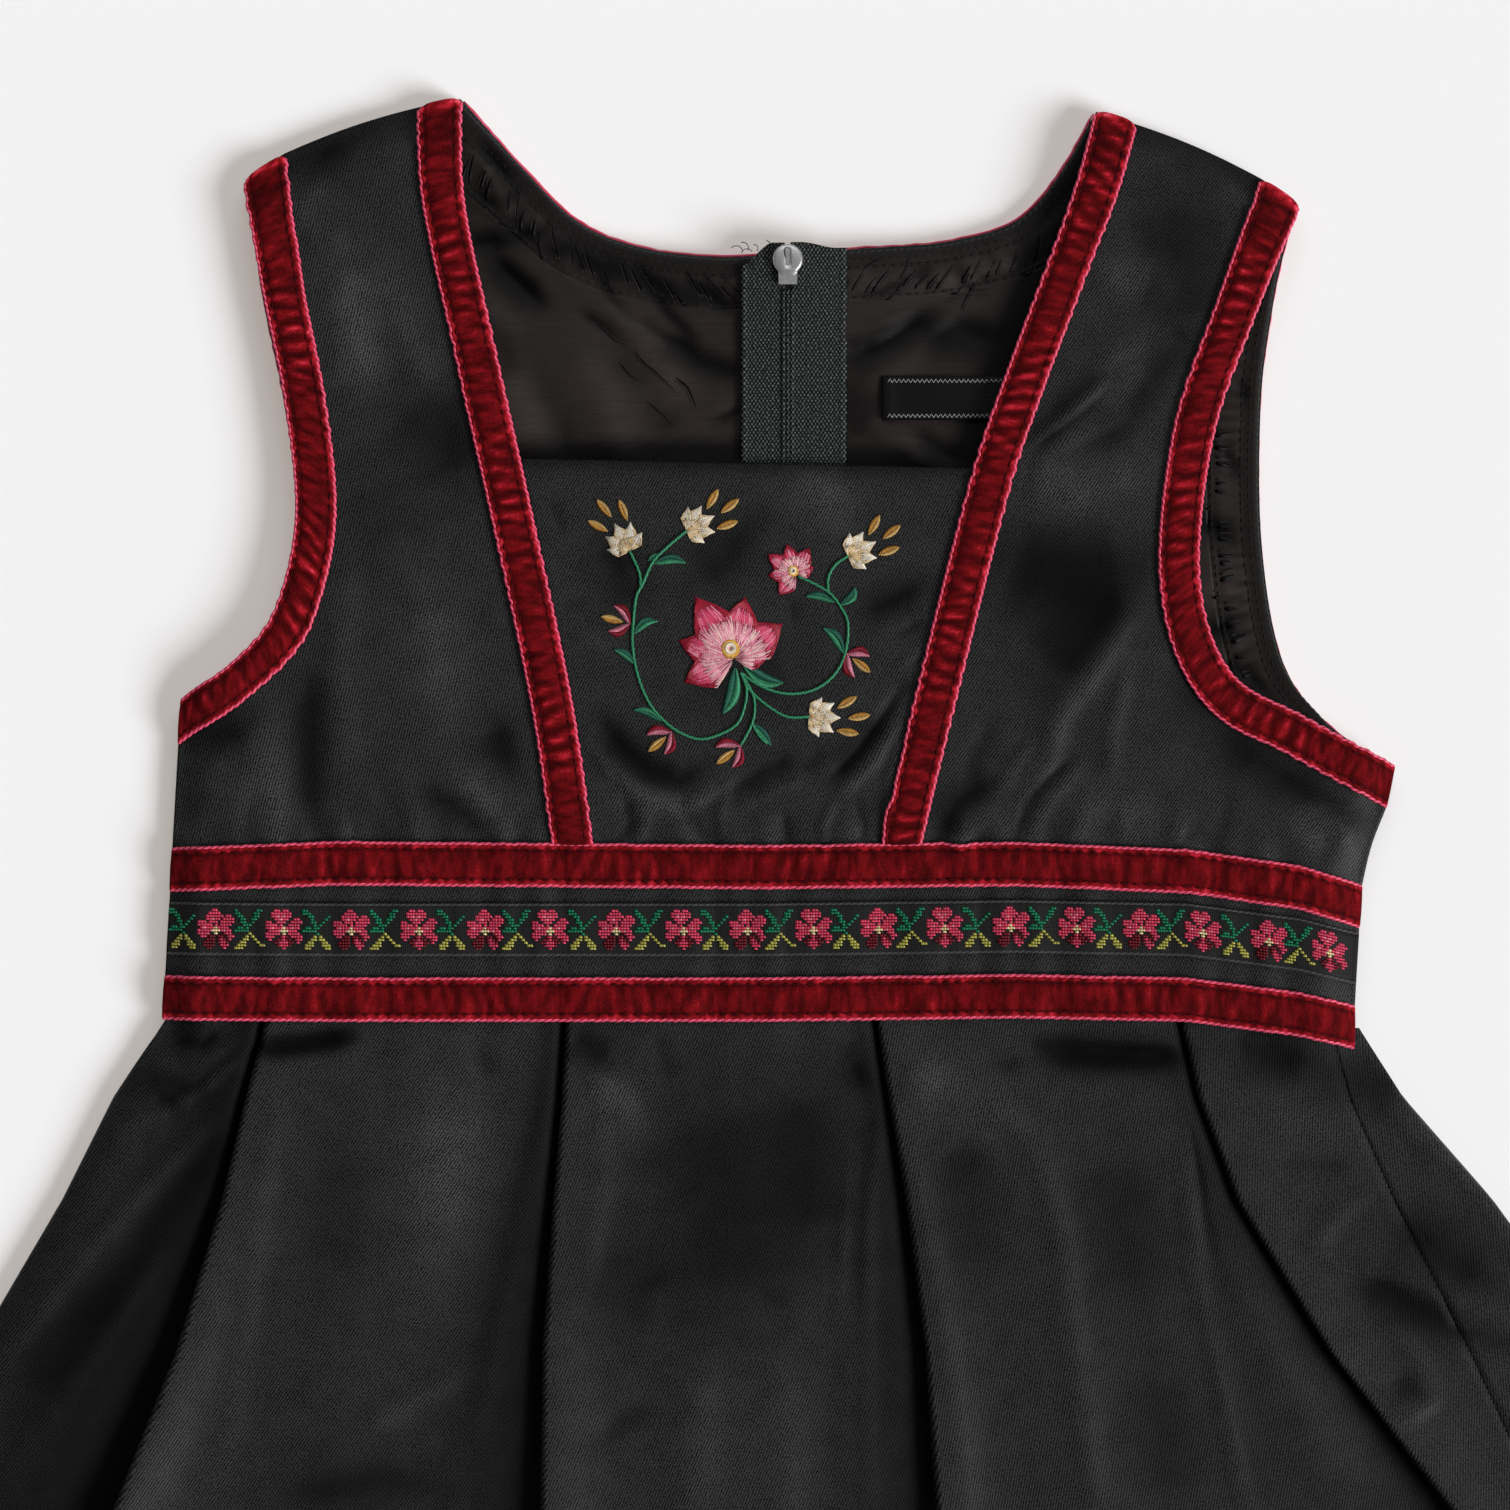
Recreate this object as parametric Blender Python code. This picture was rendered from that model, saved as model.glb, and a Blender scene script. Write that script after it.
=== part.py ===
"""A child's sleeveless bunad dress, front up, laid flat.

Lengths in the tables are millimetres, +X to the right of the laid dress, +Y towards the neck and
+Z up. Y = 0 is the seam between waistband and skirt. Each cloth piece is a wall: a net of points
on its middle surface, thickened along the net's normals. What is sewn on a panel takes the
panel's own points, moved out. At the end the whole dress is set over the origin.
"""
import math

import bmesh
import bpy
import numpy as np

MM = 0.001

# ---- cloth and layers, in millimetres
CLOTH = 1.2             # outer cloth
THIN = 1.0              # ribbon, lining, tape
GAP = 0.3               # between neighbours at a seam
PLY = CLOTH + 0.4       # from one layer of a pleat to the next
RIBBON_W = 9.2          # at the waist
EDGE_RIBBON_W = 8.6     # at neck and armholes, where the stitching draws it in
FRONT_Z = 6.0           # middle surface of the front bodice
WAIST_RAISE = 0.6       # the waist's front lies this much higher
SKIRT_LOW_Z = 2.4       # lowest layer of a front pleat
EDGE_Z = 3.4            # front panels come down to this at side seams and shoulders
ROLL = (0.0, 3.0, 9.0)  # distances from a side or shoulder seam over which the front rolls down
TURN_LENGTH = 30.0      # over which a ribbon's rows turn to lie along the seam at its end
SHOULDER_BULGE = 1.0    # the shoulder seam bows up by this in its middle
BULGE_REACH = 25.0
SIDE_ROWS, ARM_ROWS = 2, 14
BODY_COLUMNS = 5
NECK_TURN_Y = 132.0     # rows of the back above this end on the neckline, not at the centre
RIBBON_BACK_Z = THIN / 2
BACK_Z = THIN + GAP + THIN / 2
LINING_Z = BACK_Z + THIN + GAP
TAPE_Z = LINING_Z + THIN + GAP
LINING_INSET = 8.0      # the lining stops this far from side and shoulder seams
LINING_EDGE = 0.8       # and this far from the edges of neck and armholes
LINING_TIP = 2.5        # at its tips on the shoulder it is drawn in by this
SKIRT_BACK_Z = CLOTH / 2
SKIRT_WAIST_RISE = 1.3  # the back skirt rises over the waist ribbon by this
RISE_FROM, RISE_TO = -14.0, -2.0

# ---- bodice outline: rows of (x, y)
SIDE_L = ((-139.0, 34.0), (-137.3, 65.0))
SIDE_R = ((140.5, 28.0), (143.5, 40.0), (147.3, 50.0))
ARMHOLE_L = ((-136.5, 74.5), (-123.5, 84.0), (-114.0, 96.0), (-109.0, 118.0), (-111.5, 145.0),
             (-116.5, 170.0), (-121.5, 197.5))
ARMHOLE_R = ((149.0, 59.0), (127.5, 70.5), (110.0, 81.0), (102.5, 103.0), (105.5, 136.0),
             (115.0, 164.0), (126.5, 191.5))
BACK_ARMHOLE_L = ((-136.5, 74.5), (-123.4, 84.3), (-113.9, 96.3), (-109.5, 118.0), (-112.5, 145.0),
                  (-117.6, 170.0), (-121.5, 197.5))
BACK_ARMHOLE_R = ((149.0, 59.0), (134.0, 69.0), (123.0, 84.0), (118.0, 112.0), (117.8, 145.0),
                  (120.5, 167.0), (123.3, 180.5), (126.5, 191.5))
NECK_L = ((-39.5, 36.0), (-45.0, 74.5), (-55.0, 121.5), (-63.5, 159.5), (-70.3, 192.0),
          (-71.0, 216.5))
NECK_R = ((27.0, 36.0), (37.5, 79.5), (49.5, 126.5), (59.0, 154.5), (73.0, 192.0), (79.0, 213.5))
BACK_NECK_L = ((5.4, 180.0), (-10.0, 179.2), (-28.5, 181.6), (-43.5, 187.8), (-57.0, 201.0),
               (-70.8, 216.5))
BACK_NECK_R = ((7.0, 180.0), (27.5, 181.5), (44.0, 183.0), (60.5, 188.0), (71.0, 199.5),
               (79.0, 213.5))
SHOULDER_L = {"arm": (-121.5, 197.5), "arm_in": (-112.5, 202.5), "neck_in": (-80.5, 213.5),
              "neck": (-71.0, 216.5)}
SHOULDER_R = {"arm": (126.5, 191.5), "arm_in": (118.0, 196.5), "neck_in": (88.0, 209.5),
              "neck": (79.0, 213.5)}
PLASTRON_TOP = ((-61.0, 131.5), (-15.0, 132.0), (20.0, 130.7), (55.0, 129.0))

# ---- waist, columns: x, upper edge of the top ribbon, lower edge of the bottom ribbon
WAIST = ((-141.0, 39.5, 0.3), (-100.0, 41.2, 0.0), (0.0, 40.3, 0.0), (60.0, 41.0, 0.8),
         (100.0, 39.3, 0.0), (126.5, 35.5, -3.5), (140.5, 31.0, -7.0))
JACQUARD = (15.1, 26.8)  # lower and upper edge of the woven ribbon above the waist seam
SIDE_WAIST = ((-9.0, -141.0, 139.5), (0.0, -141.0, 139.5), (34.0, -139.0, 141.5),
              (65.0, -137.3, 151.0))  # columns: y, left side, right side

# ---- centre back
ZIP_X = 6.2
ZIP_SLOT = 0.8          # half the slot between the two halves of the back
ZIP_END = -70.0
TAPE_W = {"left": 10.8, "right": 13.6}
TAPE_TOP = {"left": 180.6, "right": 177.5}
LABEL = {"left": 28.5, "right": 60.0, "low": 141.0, "high": 151.0, "thick": 0.8}

# ---- slider and pull tab
SLIDER = {"head_y": 178.3, "head_r": 3.5, "foot_y": 172.5, "foot_half": 2.1, "neck_half": 2.5,
          "plate": 1.2, "blade_half": 0.5, "window_half": 0.95, "leg": 1.3, "bar": 0.5}
PIVOT_Y, PIVOT_Z = 176.5, 1.6
TAB = {"length": 13.0, "half_width": 1.7, "thick": 0.8, "eye_half": 0.8, "eye_far": 3.2,
       "cross": 0.45, "droop_deg": 4.5}
LIFT = {"height": 2.6, "spread_x": 22.0, "spread_y": 18.0}  # the cloth over the pull tab

# ---- skirt
HEM_Y, HEM_RISE = -357.0, 32.0
ROWS = (0.0, 0.018, 0.051, 0.1, 0.18, 0.3, 0.45, 0.62, 0.8, 1.0)  # share of the way to the hem
LINE_NAMES = ("left", "soft1", "edge1", "soft2", "edge2", "soft3", "edge3", "soft4", "edge4",
              "seam", "right")
SKIRT_LINES = (  # columns: y, then x of each line named above
    (0.0, -140.5, -117.5, -116.5, -47.0, -46.0, 26.5, 27.0, 98.0, 98.5, 133.5, 139.5),
    (-19.0, -153.0, -124.0, -121.5, -49.5, -47.0, 26.5, 30.0, 101.5, 103.0, 138.5, 151.5),
    (-43.0, -165.0, -138.5, -127.0, -55.5, -49.0, 25.5, 34.0, 105.0, 112.0, 149.0, 172.5),
    (-78.0, -185.5, -162.0, -137.5, -64.5, -51.5, 23.5, 38.5, 111.5, 133.5, 166.5, 198.0),
    (-116.0, -204.5, -181.0, -152.5, -72.0, -52.0, 23.5, 41.0, 121.5, 162.5, 184.0, 218.0),
    (-196.0, -240.0, -207.5, -180.0, -85.0, -57.0, 25.5, 50.0, 143.0, 201.5, 218.5, 252.0),
    (-325.0, -285.0, -242.5, -223.5, -101.5, -66.5, 30.0, 67.5, 173.5, 241.5, 258.0, 293.5),
    (-360.0, -293.0, -250.0, -232.0, -105.0, -69.0, 31.5, 71.0, 181.0, 251.0, 267.0, 302.0))
FRONT_PLEATS = ({"soft": "soft1", "edge": "edge1", "depth": 13.0},
                {"soft": "soft2", "edge": "edge2", "depth": 13.0},
                {"soft": "soft3", "edge": "edge3", "depth": 13.0},
                {"soft": "soft4", "edge": "edge4", "depth": 9.0})
BACK_PLEATS = {  # x of the pressed fold and of the soft roll, at the waist and at the hem
    "left": ({"fold": (-80.0, -172.0), "soft": (-78.5, -150.0)},
             {"fold": (-14.0, -22.0), "soft": (-12.5, -8.0)}),
    "right": ({"fold": (59.0, 112.0), "soft": (60.5, 134.0)},
              {"fold": (84.0, 150.0), "soft": (85.5, 160.0)})}
BACK_DEPTH = 13.0
PANEL_STEPS = 4         # points across a flat stretch of skirt between two pleats
TURN_STEPS = 4          # facets round a pressed fold

# ---- the largest soft folds of the front, as ridges from one end to the other
FOLDS = (  # columns: x and y of one end, x and y of the other, half width, height
    (-150.0, -60.0, -215.0, -260.0, 14.0, 1.0), (-85.0, -20.0, -150.0, -340.0, 16.0, 1.3),
    (-5.0, -20.0, -18.0, -345.0, 18.0, 1.2), (62.0, -20.0, 112.0, -345.0, 16.0, 1.3),
    (150.0, -80.0, 215.0, -300.0, 10.0, 0.8), (-88.0, 55.0, -92.0, 150.0, 14.0, 0.8),
    (88.0, 55.0, 78.0, 140.0, 14.0, 0.9), (-18.0, 62.0, -16.0, 115.0, 20.0, 0.6))

# ---- materials, columns: red, green, blue (linear), roughness, metallic
FINISHES = {"satin": (0.012, 0.012, 0.013, 0.42, 0.0), "lining": (0.022, 0.018, 0.016, 0.7, 0.0),
            "velvet": (0.13, 0.006, 0.012, 0.85, 0.0), "jacquard": (0.015, 0.012, 0.012, 0.7, 0.0),
            "tape": (0.012, 0.012, 0.013, 0.8, 0.0), "label": (0.01, 0.01, 0.011, 0.5, 0.0),
            "metal": (0.35, 0.35, 0.36, 0.3, 1.0)}


# ---------------------------------------------------------------- curves and heights
def ease(value):
    """Smooth step from 0 to 1."""
    value = min(max(value, 0.0), 1.0)
    return value * value * (3 - 2 * value)


def smooth_path(points, per_span=16):
    """Catmull-Rom curve through a short table of points."""
    pts = np.array(points, float)
    pts = np.vstack([2 * pts[0] - pts[1], pts, 2 * pts[-1] - pts[-2]])
    out = []
    for a, b, c, d in zip(pts, pts[1:], pts[2:], pts[3:]):
        for t in np.linspace(0, 1, per_span, endpoint=False):
            out.append(0.5 * (2 * b + (c - a) * t + (2 * a - 5 * b + 4 * c - d) * t ** 2
                              + (3 * b - 3 * c + d - a) * t ** 3))
    out.append(pts[-2])
    return np.array(out)


def path_length(path):
    return float(np.linalg.norm(np.diff(path, axis=0), axis=1).sum())


def along(path, lengths):
    """Points at the given distances along a path."""
    steps = np.concatenate([[0], np.cumsum(np.linalg.norm(np.diff(path, axis=0), axis=1))])
    return np.column_stack([np.interp(lengths, steps, path[:, k]) for k in (0, 1)])


def stations(total, count, tight_start=False, tight_end=False):
    """Distances of count + 1 rows, closer together where the cloth rolls over a seam."""
    start = list(ROLL[:-1]) if tight_start else []
    end = [total - r for r in reversed(ROLL[:-1])] if tight_end else []
    low = ROLL[-1] if tight_start else 0.0
    high = total - ROLL[-1] if tight_end else total
    middle = np.linspace(low, high, count + 1 - len(start) - len(end))
    return np.concatenate([start, middle, end])


def offset_rows(path, lengths, distance):
    """Points beside a path, to its left when the distance is positive."""
    tangent = np.gradient(path, axis=0)
    tangent /= np.linalg.norm(tangent, axis=1)[:, None]
    steps = np.concatenate([[0], np.cumsum(np.linalg.norm(np.diff(path, axis=0), axis=1))])
    normal = np.column_stack([-np.interp(lengths, steps, tangent[:, 1]),
                              np.interp(lengths, steps, tangent[:, 0])])
    return along(path, lengths) + distance * normal


def waist_top(x):
    return np.interp(x, [r[0] for r in WAIST], [r[1] for r in WAIST])


def waist_seam(x):
    return np.interp(x, [r[0] for r in WAIST], [r[2] for r in WAIST])


def side_x(y, column):
    return np.interp(y, [r[0] for r in SIDE_WAIST], [r[column] for r in SIDE_WAIST])


def lift(x, y):
    """How far the back is raised round the outside of the zip's slider."""
    across = (x - ZIP_X) / LIFT["spread_x"]
    up = (y - PIVOT_Y) / LIFT["spread_y"]
    return LIFT["height"] * math.exp(-(across ** 2 + up ** 2) / 2)


def fold_height(x, y):
    """Height of the front's soft folds over its flat surface."""
    total = 0.0
    for x0, y0, x1, y1, half, height in FOLDS:
        run = np.array([x1 - x0, y1 - y0])
        share = np.dot(np.array([x - x0, y - y0]), run) / np.dot(run, run)
        inside = ease(min(share, 1 - share) * 3 + 0.4)
        nearest = np.array([x0, y0]) + min(max(share, 0), 1) * run
        away = math.hypot(x - nearest[0], y - nearest[1])
        total += height * inside * math.exp(-(away / half) ** 2)
    return total


def rise(x, y):
    """0 on the skirt, 1 at the waist, where the skirt lies over the back's ribbon."""
    below = y - waist_seam(x)
    return min(max((below - RISE_FROM) / (RISE_TO - RISE_FROM), 0.0), 1.0)


def shoulder_rise(x):
    """How far the shoulder seam bows up over the straight line between its ends."""
    tips = SHOULDER_L if x < ZIP_X else SHOULDER_R
    share = (x - tips["arm"][0]) / (tips["neck"][0] - tips["arm"][0])
    return SHOULDER_BULGE * math.sin(math.pi * min(max(share, 0.0), 1.0))


def shoulder_line(x):
    tips = SHOULDER_L if x < ZIP_X else SHOULDER_R
    (x0, y0), (x1, y1) = tips["arm"], tips["neck"]
    return y0 + (y1 - y0) * (x - x0) / (x1 - x0)


def shoulder_distance(x, y):
    """Distance down from the nearer shoulder seam."""
    return abs(shoulder_line(x) + shoulder_rise(x) - y)


def bowed(net):
    """A net of (x, y) with its upper rows bowed up under the shoulder seam."""
    out = net.copy()
    for row in out:
        for p in row:
            near = 1 - (shoulder_line(p[0]) - p[1]) / BULGE_REACH
            p[1] += shoulder_rise(p[0]) * min(max(near, 0.0), 1.0)
    return out


def side_share(x, y):
    """0 at a side seam, 1 where the front has risen to its full height."""
    return ease(min(x - side_x(y, 1), side_x(y, 2) - x) / ROLL[-1])


def front_z(x, y):
    """Middle surface of the bodice and the waistband at the front."""
    waist = ease(1 - (y - waist_top(x)) / 20)
    z = FRONT_Z + WAIST_RAISE * waist + fold_height(x, y) + lift(x, y)
    share = side_share(x, y)
    if y > 150:
        share *= ease(shoulder_distance(x, y) / ROLL[-1])
    return EDGE_Z + (z - EDGE_Z) * share


def back_layer(level):
    """Surface of one layer of the back bodice."""
    return lambda x, y: level + lift(x, y)


# ---------------------------------------------------------------- nets of points
def raised(net, surface):
    """A flat net of (x, y) rows set on a surface."""
    return np.array([[(x, y, surface(x, y)) for x, y in row] for row in net])


def lerp_rows(left, right, fractions):
    return np.array([[a + (b - a) * f for f in fractions] for a, b in zip(left, right)])


def arm_edge(plain, cut, width, tip):
    """Side seam and armhole: the armhole's edge, and the inner path below its ribbon."""
    path = smooth_path(cut)
    lengths = stations(path_length(path), ARM_ROWS, True, True)
    outer = along(path, lengths)
    inner = offset_rows(path, lengths, width)
    inner = turned_ends(outer, inner, tip, lengths[-1] - lengths, -1)
    inner = turned_ends(outer, inner, plain[-1], lengths, 0)
    plain = smooth_path(plain)
    steps = np.linspace(0, path_length(plain), SIDE_ROWS + 1)
    return outer, np.vstack([along(plain, steps)[:-1], inner])


def front_neck_edge(cut, width, tip, arm_inner):
    """The front's edge along the neck, its rows level with those of the armhole."""
    path = smooth_path(cut)
    levels = arm_inner[:, 1]
    share = (levels - levels[0]) / (levels[-1] - levels[0])
    levels = levels + (path[-1, 1] - levels[-1]) * share ** 3
    levels = levels + (path[0, 1] - levels[0]) * (1 - share) ** 3
    steps = np.concatenate([[0], np.cumsum(np.linalg.norm(np.diff(path, axis=0), axis=1))])
    lengths = np.interp(levels, path[:, 1], steps)
    outer = along(path, lengths)
    inner = offset_rows(path, lengths, width)
    return outer, turned_ends(outer, inner, tip, lengths[-1] - lengths, -1)


def back_neck_edge(cut, width, tip, arm_inner, low):
    """Centre back and neckline: the neckline's edge, and the inner path below its ribbon."""
    path = smooth_path(cut)
    corner = np.array([cut[0][0], cut[0][1] - abs(width)])
    levels = arm_inner[:, 1]
    split = int(np.argmax(levels >= NECK_TURN_Y))
    share = (levels[:split + 1] - levels[0]) / (levels[split] - levels[0])
    centre = np.column_stack([np.full(split + 1, corner[0]), low + (corner[1] - low) * share])
    lengths = stations(path_length(path), len(levels) - 1 - split, False, True)
    outer = along(path, lengths)
    inner = offset_rows(path, lengths, width)
    inner = turned_ends(outer, inner, tip, lengths[-1] - lengths, -1)
    inner = turned_ends(outer, inner, corner, lengths, 0)
    return outer, np.vstack([centre[:-1], inner])


def turned_ends(outer, inner, corner, distances, end):
    """Turn the rows near one end of a strip until the last lies along the seam there."""
    seam = np.array(corner) - outer[end]
    share = np.clip(1 - distances / TURN_LENGTH, 0, 1)[:, None]
    return inner * (1 - share) + (outer + seam) * share


def bodice_low(x):
    """Lower edge of the bodice, under the middle of the top ribbon."""
    return waist_top(x) - RIBBON_W / 2 + GAP


def bodice_nets(arm, neck, low_edge):
    """Nets of one quarter of the bodice: its body and the strips under the two ribbons."""
    arm_outer, arm_inner = arm
    neck_outer, neck_inner = neck
    widths = np.linalg.norm(neck_inner - arm_inner, axis=1)
    body = []
    for a, b, w in zip(arm_inner, neck_inner, widths):
        shares = [r / w for r in ROLL] + list(np.linspace(ROLL[-1] / w, 1, BODY_COLUMNS + 1)[1:])
        body.append([a + (b - a) * s for s in shares])
    body = np.array(body)
    body[0, :, 1] = low_edge(body[0, :, 0])
    thirds = (0.0, 0.5, 1.0)
    arm_strip = lerp_rows(arm_outer, arm_inner[-len(arm_outer):], thirds)
    neck_strip = lerp_rows(neck_inner[-len(neck_outer):], neck_outer, thirds)
    if len(neck_outer) == len(neck_inner):
        neck_strip[0, :, 1] = low_edge(neck_strip[0, :, 0])
    return {"body": bowed(body), "arm": bowed(arm_strip), "neck": bowed(neck_strip)}


def weld(nets):
    """Points and faces of several nets joined where their points coincide."""
    points, index, faces = [], {}, []
    for net in nets:
        ids = []
        for row in net:
            ids.append([])
            for p in row:
                key = tuple(np.round(p, 4))
                if key not in index:
                    index[key] = len(points)
                    points.append(np.array(p, float))
                ids[-1].append(index[key])
        for low, high in zip(ids, ids[1:]):
            for a, b, c, d in zip(low, low[1:], high[1:], high):
                corners = [a, b, c, d]
                unique = [v for k, v in enumerate(corners) if v not in corners[:k]]
                if len(unique) > 2:
                    faces.append(unique)
    return np.array(points), faces


def sheet_normals(points, faces):
    """Unit normals at the points of a sheet."""
    normals = np.zeros_like(points)
    for face in faces:
        corners = points[face]
        area = sum(np.cross(p - corners[0], q - corners[0]) for p, q in zip(corners[1:], corners[2:]))
        for v in face:
            normals[v] += area
    return normals / np.linalg.norm(normals, axis=1)[:, None]


def boundary_edges(faces):
    edges = {}
    for face in faces:
        for a, b in zip(face, face[1:] + face[:1]):
            edges[(a, b)] = True
    return [e for e in edges if (e[1], e[0]) not in edges]


def wall(name, nets, thickness, finish, shift=0.0):
    """A closed wall round the middle surface that the nets give, moved out by shift."""
    points, faces = weld(nets)
    normals = sheet_normals(points, faces)
    if normals[:, 2].sum() < 0 and shift:
        shift = -shift
    middle = points + normals * shift
    count = len(points)
    verts = np.vstack([middle + normals * thickness / 2, middle - normals * thickness / 2])
    solid = [list(f) for f in faces] + [[v + count for v in reversed(f)] for f in faces]
    solid += [[a, a + count, b + count, b] for a, b in boundary_edges(faces)]
    return make_object(name, verts, solid, finish)


# ---------------------------------------------------------------- Blender objects
def clear_scene():
    for obj in list(bpy.data.objects):
        bpy.data.objects.remove(obj, do_unlink=True)


def material(finish):
    """One Principled material per piece."""
    red, green, blue, roughness, metallic = FINISHES[finish]
    mat = bpy.data.materials.new(finish)
    mat.use_nodes = True
    shader = mat.node_tree.nodes["Principled BSDF"]
    shader.inputs["Base Color"].default_value = (red, green, blue, 1)
    shader.inputs["Roughness"].default_value = roughness
    shader.inputs["Metallic"].default_value = metallic
    return mat


def make_object(name, verts, faces, finish):
    """A mesh object from points in millimetres."""
    mesh = bpy.data.meshes.new(name)
    mesh.from_pydata([tuple(float(c) * MM for c in v) for v in verts], [], faces)
    work = bmesh.new()
    work.from_mesh(mesh)
    bmesh.ops.triangulate(work, faces=work.faces)
    bmesh.ops.recalc_face_normals(work, faces=work.faces)
    work.to_mesh(mesh)
    work.free()
    mesh.shade_smooth()
    mesh.set_sharp_from_angle(angle=math.radians(50))
    obj = bpy.data.objects.new(name, mesh)
    bpy.context.scene.collection.objects.link(obj)
    obj.data.materials.append(material(finish))
    return obj


def prism(name, outline, z_low, z_high, finish):
    """An upright prism on an outline of (x, y)."""
    n = len(outline)
    verts = [(x, y, z_low) for x, y in outline] + [(x, y, z_high) for x, y in outline]
    faces = [list(range(n))[::-1], list(range(n, 2 * n))]
    faces += [[k, (k + 1) % n, (k + 1) % n + n, k + n] for k in range(n)]
    return make_object(name, verts, faces, finish)


def block(name, low, high, finish):
    outline = ((low[0], low[1]), (high[0], low[1]), (high[0], high[1]), (low[0], high[1]))
    return prism(name, outline, low[2], high[2], finish)


def combine(obj, other, operation):
    """A Boolean with an exact solver, kept as a modifier."""
    modifier = obj.modifiers.new(operation.title(), "BOOLEAN")
    modifier.operation = operation
    modifier.solver = "EXACT"
    modifier.object = other
    other.hide_render = True
    other.display_type = "WIRE"


# ---------------------------------------------------------------- bodice
def front_quarter(side):
    """Nets of the left or right front, from the waist to the shoulder."""
    left = side == "left"
    plain, cut, tips = (SIDE_L, ARMHOLE_L, SHOULDER_L) if left else (SIDE_R, ARMHOLE_R, SHOULDER_R)
    turn = EDGE_RIBBON_W if left else -EDGE_RIBBON_W
    plain = ((plain[0][0], bodice_low(plain[0][0])),) + plain[1:]
    arm = arm_edge(plain, cut, -turn, tips["arm_in"])
    neck_cut = NECK_L if left else NECK_R
    neck_cut = ((neck_cut[0][0], bodice_low(neck_cut[0][0])),) + neck_cut[1:]
    return bodice_nets(arm, front_neck_edge(neck_cut, turn, tips["neck_in"], arm[1]), bodice_low)


def back_quarter(side):
    """Nets of the left or right half of the back."""
    left = side == "left"
    plain, cut, tips = ((SIDE_L, BACK_ARMHOLE_L, SHOULDER_L) if left
                        else (SIDE_R, BACK_ARMHOLE_R, SHOULDER_R))
    turn = EDGE_RIBBON_W if left else -EDGE_RIBBON_W
    plain = ((plain[0][0], bodice_low(plain[0][0])),) + plain[1:]
    arm = arm_edge(plain, cut, -turn, tips["arm_in"])
    centre = ZIP_X - math.copysign(ZIP_SLOT, turn)
    neck_cut = BACK_NECK_L if left else BACK_NECK_R
    neck_cut = ((centre, neck_cut[0][1]),) + neck_cut[1:]
    neck = back_neck_edge(neck_cut, turn, tips["neck_in"], arm[1], bodice_low(centre))
    return bodice_nets(arm, neck, bodice_low)


def lining_quarter(side):
    """Nets of half of the lining, drawn in from the seams and a little from the edges."""
    left = side == "left"
    plain, cut, tips = ((SIDE_L, BACK_ARMHOLE_L, SHOULDER_L) if left
                        else (SIDE_R, BACK_ARMHOLE_R, SHOULDER_R))
    sign = 1 if left else -1
    width = sign * (EDGE_RIBBON_W - LINING_EDGE)
    plain = ((plain[0][0], lining_low(plain[0][0])),) + plain[1:]
    plain = [(x + sign * LINING_INSET, y) for x, y in plain]
    drawn_in = [(x + sign * LINING_EDGE, y) for x, y in cut[1:-1]]
    tip = (tips["arm"][0] + sign * LINING_TIP, tips["arm"][1] - LINING_INSET)
    cut = [(cut[0][0] + sign * LINING_INSET, cut[0][1] + LINING_EDGE)] + drawn_in + [tip]
    arm = arm_edge(plain, cut, -width, (tips["arm_in"][0], tips["arm_in"][1] - LINING_INSET))
    centre = ZIP_X - sign * ZIP_SLOT
    neck_cut = [(x, y - LINING_EDGE) for x, y in (BACK_NECK_L if left else BACK_NECK_R)]
    neck_cut[0] = (centre, neck_cut[0][1])
    neck_cut[-1] = (tips["neck"][0] + sign * LINING_EDGE, tips["neck"][1] - LINING_TIP)
    neck_in = (tips["neck_in"][0], tips["neck_in"][1] - LINING_INSET)
    neck = back_neck_edge(neck_cut, width, neck_in, arm[1], lining_low(centre))
    return bodice_nets(arm, neck, lining_low)


def lining_low(x):
    return waist_seam(x) + RIBBON_W / 2 + 2 * GAP


def build_front(side):
    nets = {k: raised(n, front_z) for k, n in front_quarter(side).items()}
    wall("front_" + side, list(nets.values()), CLOTH, "satin")
    out = (CLOTH + THIN) / 2 + GAP
    wall("armhole_ribbon_front_" + side, [nets["arm"]], THIN, "velvet", out)
    neck = nets["neck"].copy()
    top = waist_top(neck[0, :, 0]) + GAP
    share = (top - neck[0, :, 1]) / (neck[1, :, 1] - neck[0, :, 1])
    neck[0] += (neck[1] - neck[0]) * share[:, None]
    wall("neck_ribbon_front_" + side, [neck], THIN, "velvet", out)


def build_plastron():
    """The embroidered centre front, between the inner edges of the two neck ribbons."""
    edges = []
    for cut, turn in ((NECK_L, 1), (NECK_R, -1)):
        path = smooth_path(cut)
        top = np.interp(cut[2][0], [p[0] for p in PLASTRON_TOP], [p[1] for p in PLASTRON_TOP])
        ys = np.linspace(bodice_low(cut[0][0]), top, 8)
        xs = np.interp(ys, path[:, 1], path[:, 0]) + turn * GAP
        edges.append(np.column_stack([xs, ys]))
    net = lerp_rows(edges[0], edges[1], np.linspace(0, 1, 9))
    net[0, :, 1] = bodice_low(net[0, :, 0])
    wall("plastron", [raised(net, front_z)], CLOTH, "satin")


def build_back(side):
    nets = back_quarter(side)
    layer = back_layer(BACK_Z)
    wall("back_" + side, [raised(n, layer) for n in nets.values()], THIN, "satin")
    ribbon = back_layer(RIBBON_BACK_Z)
    wall("armhole_ribbon_back_" + side, [raised(nets["arm"], ribbon)], THIN, "velvet")
    wall("neck_ribbon_back_" + side, [raised(nets["neck"], ribbon)], THIN, "velvet")
    layer = back_layer(LINING_Z)
    lining = lining_quarter(side).values()
    wall("back_lining_" + side, [raised(n, layer) for n in lining], THIN, "lining")


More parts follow.
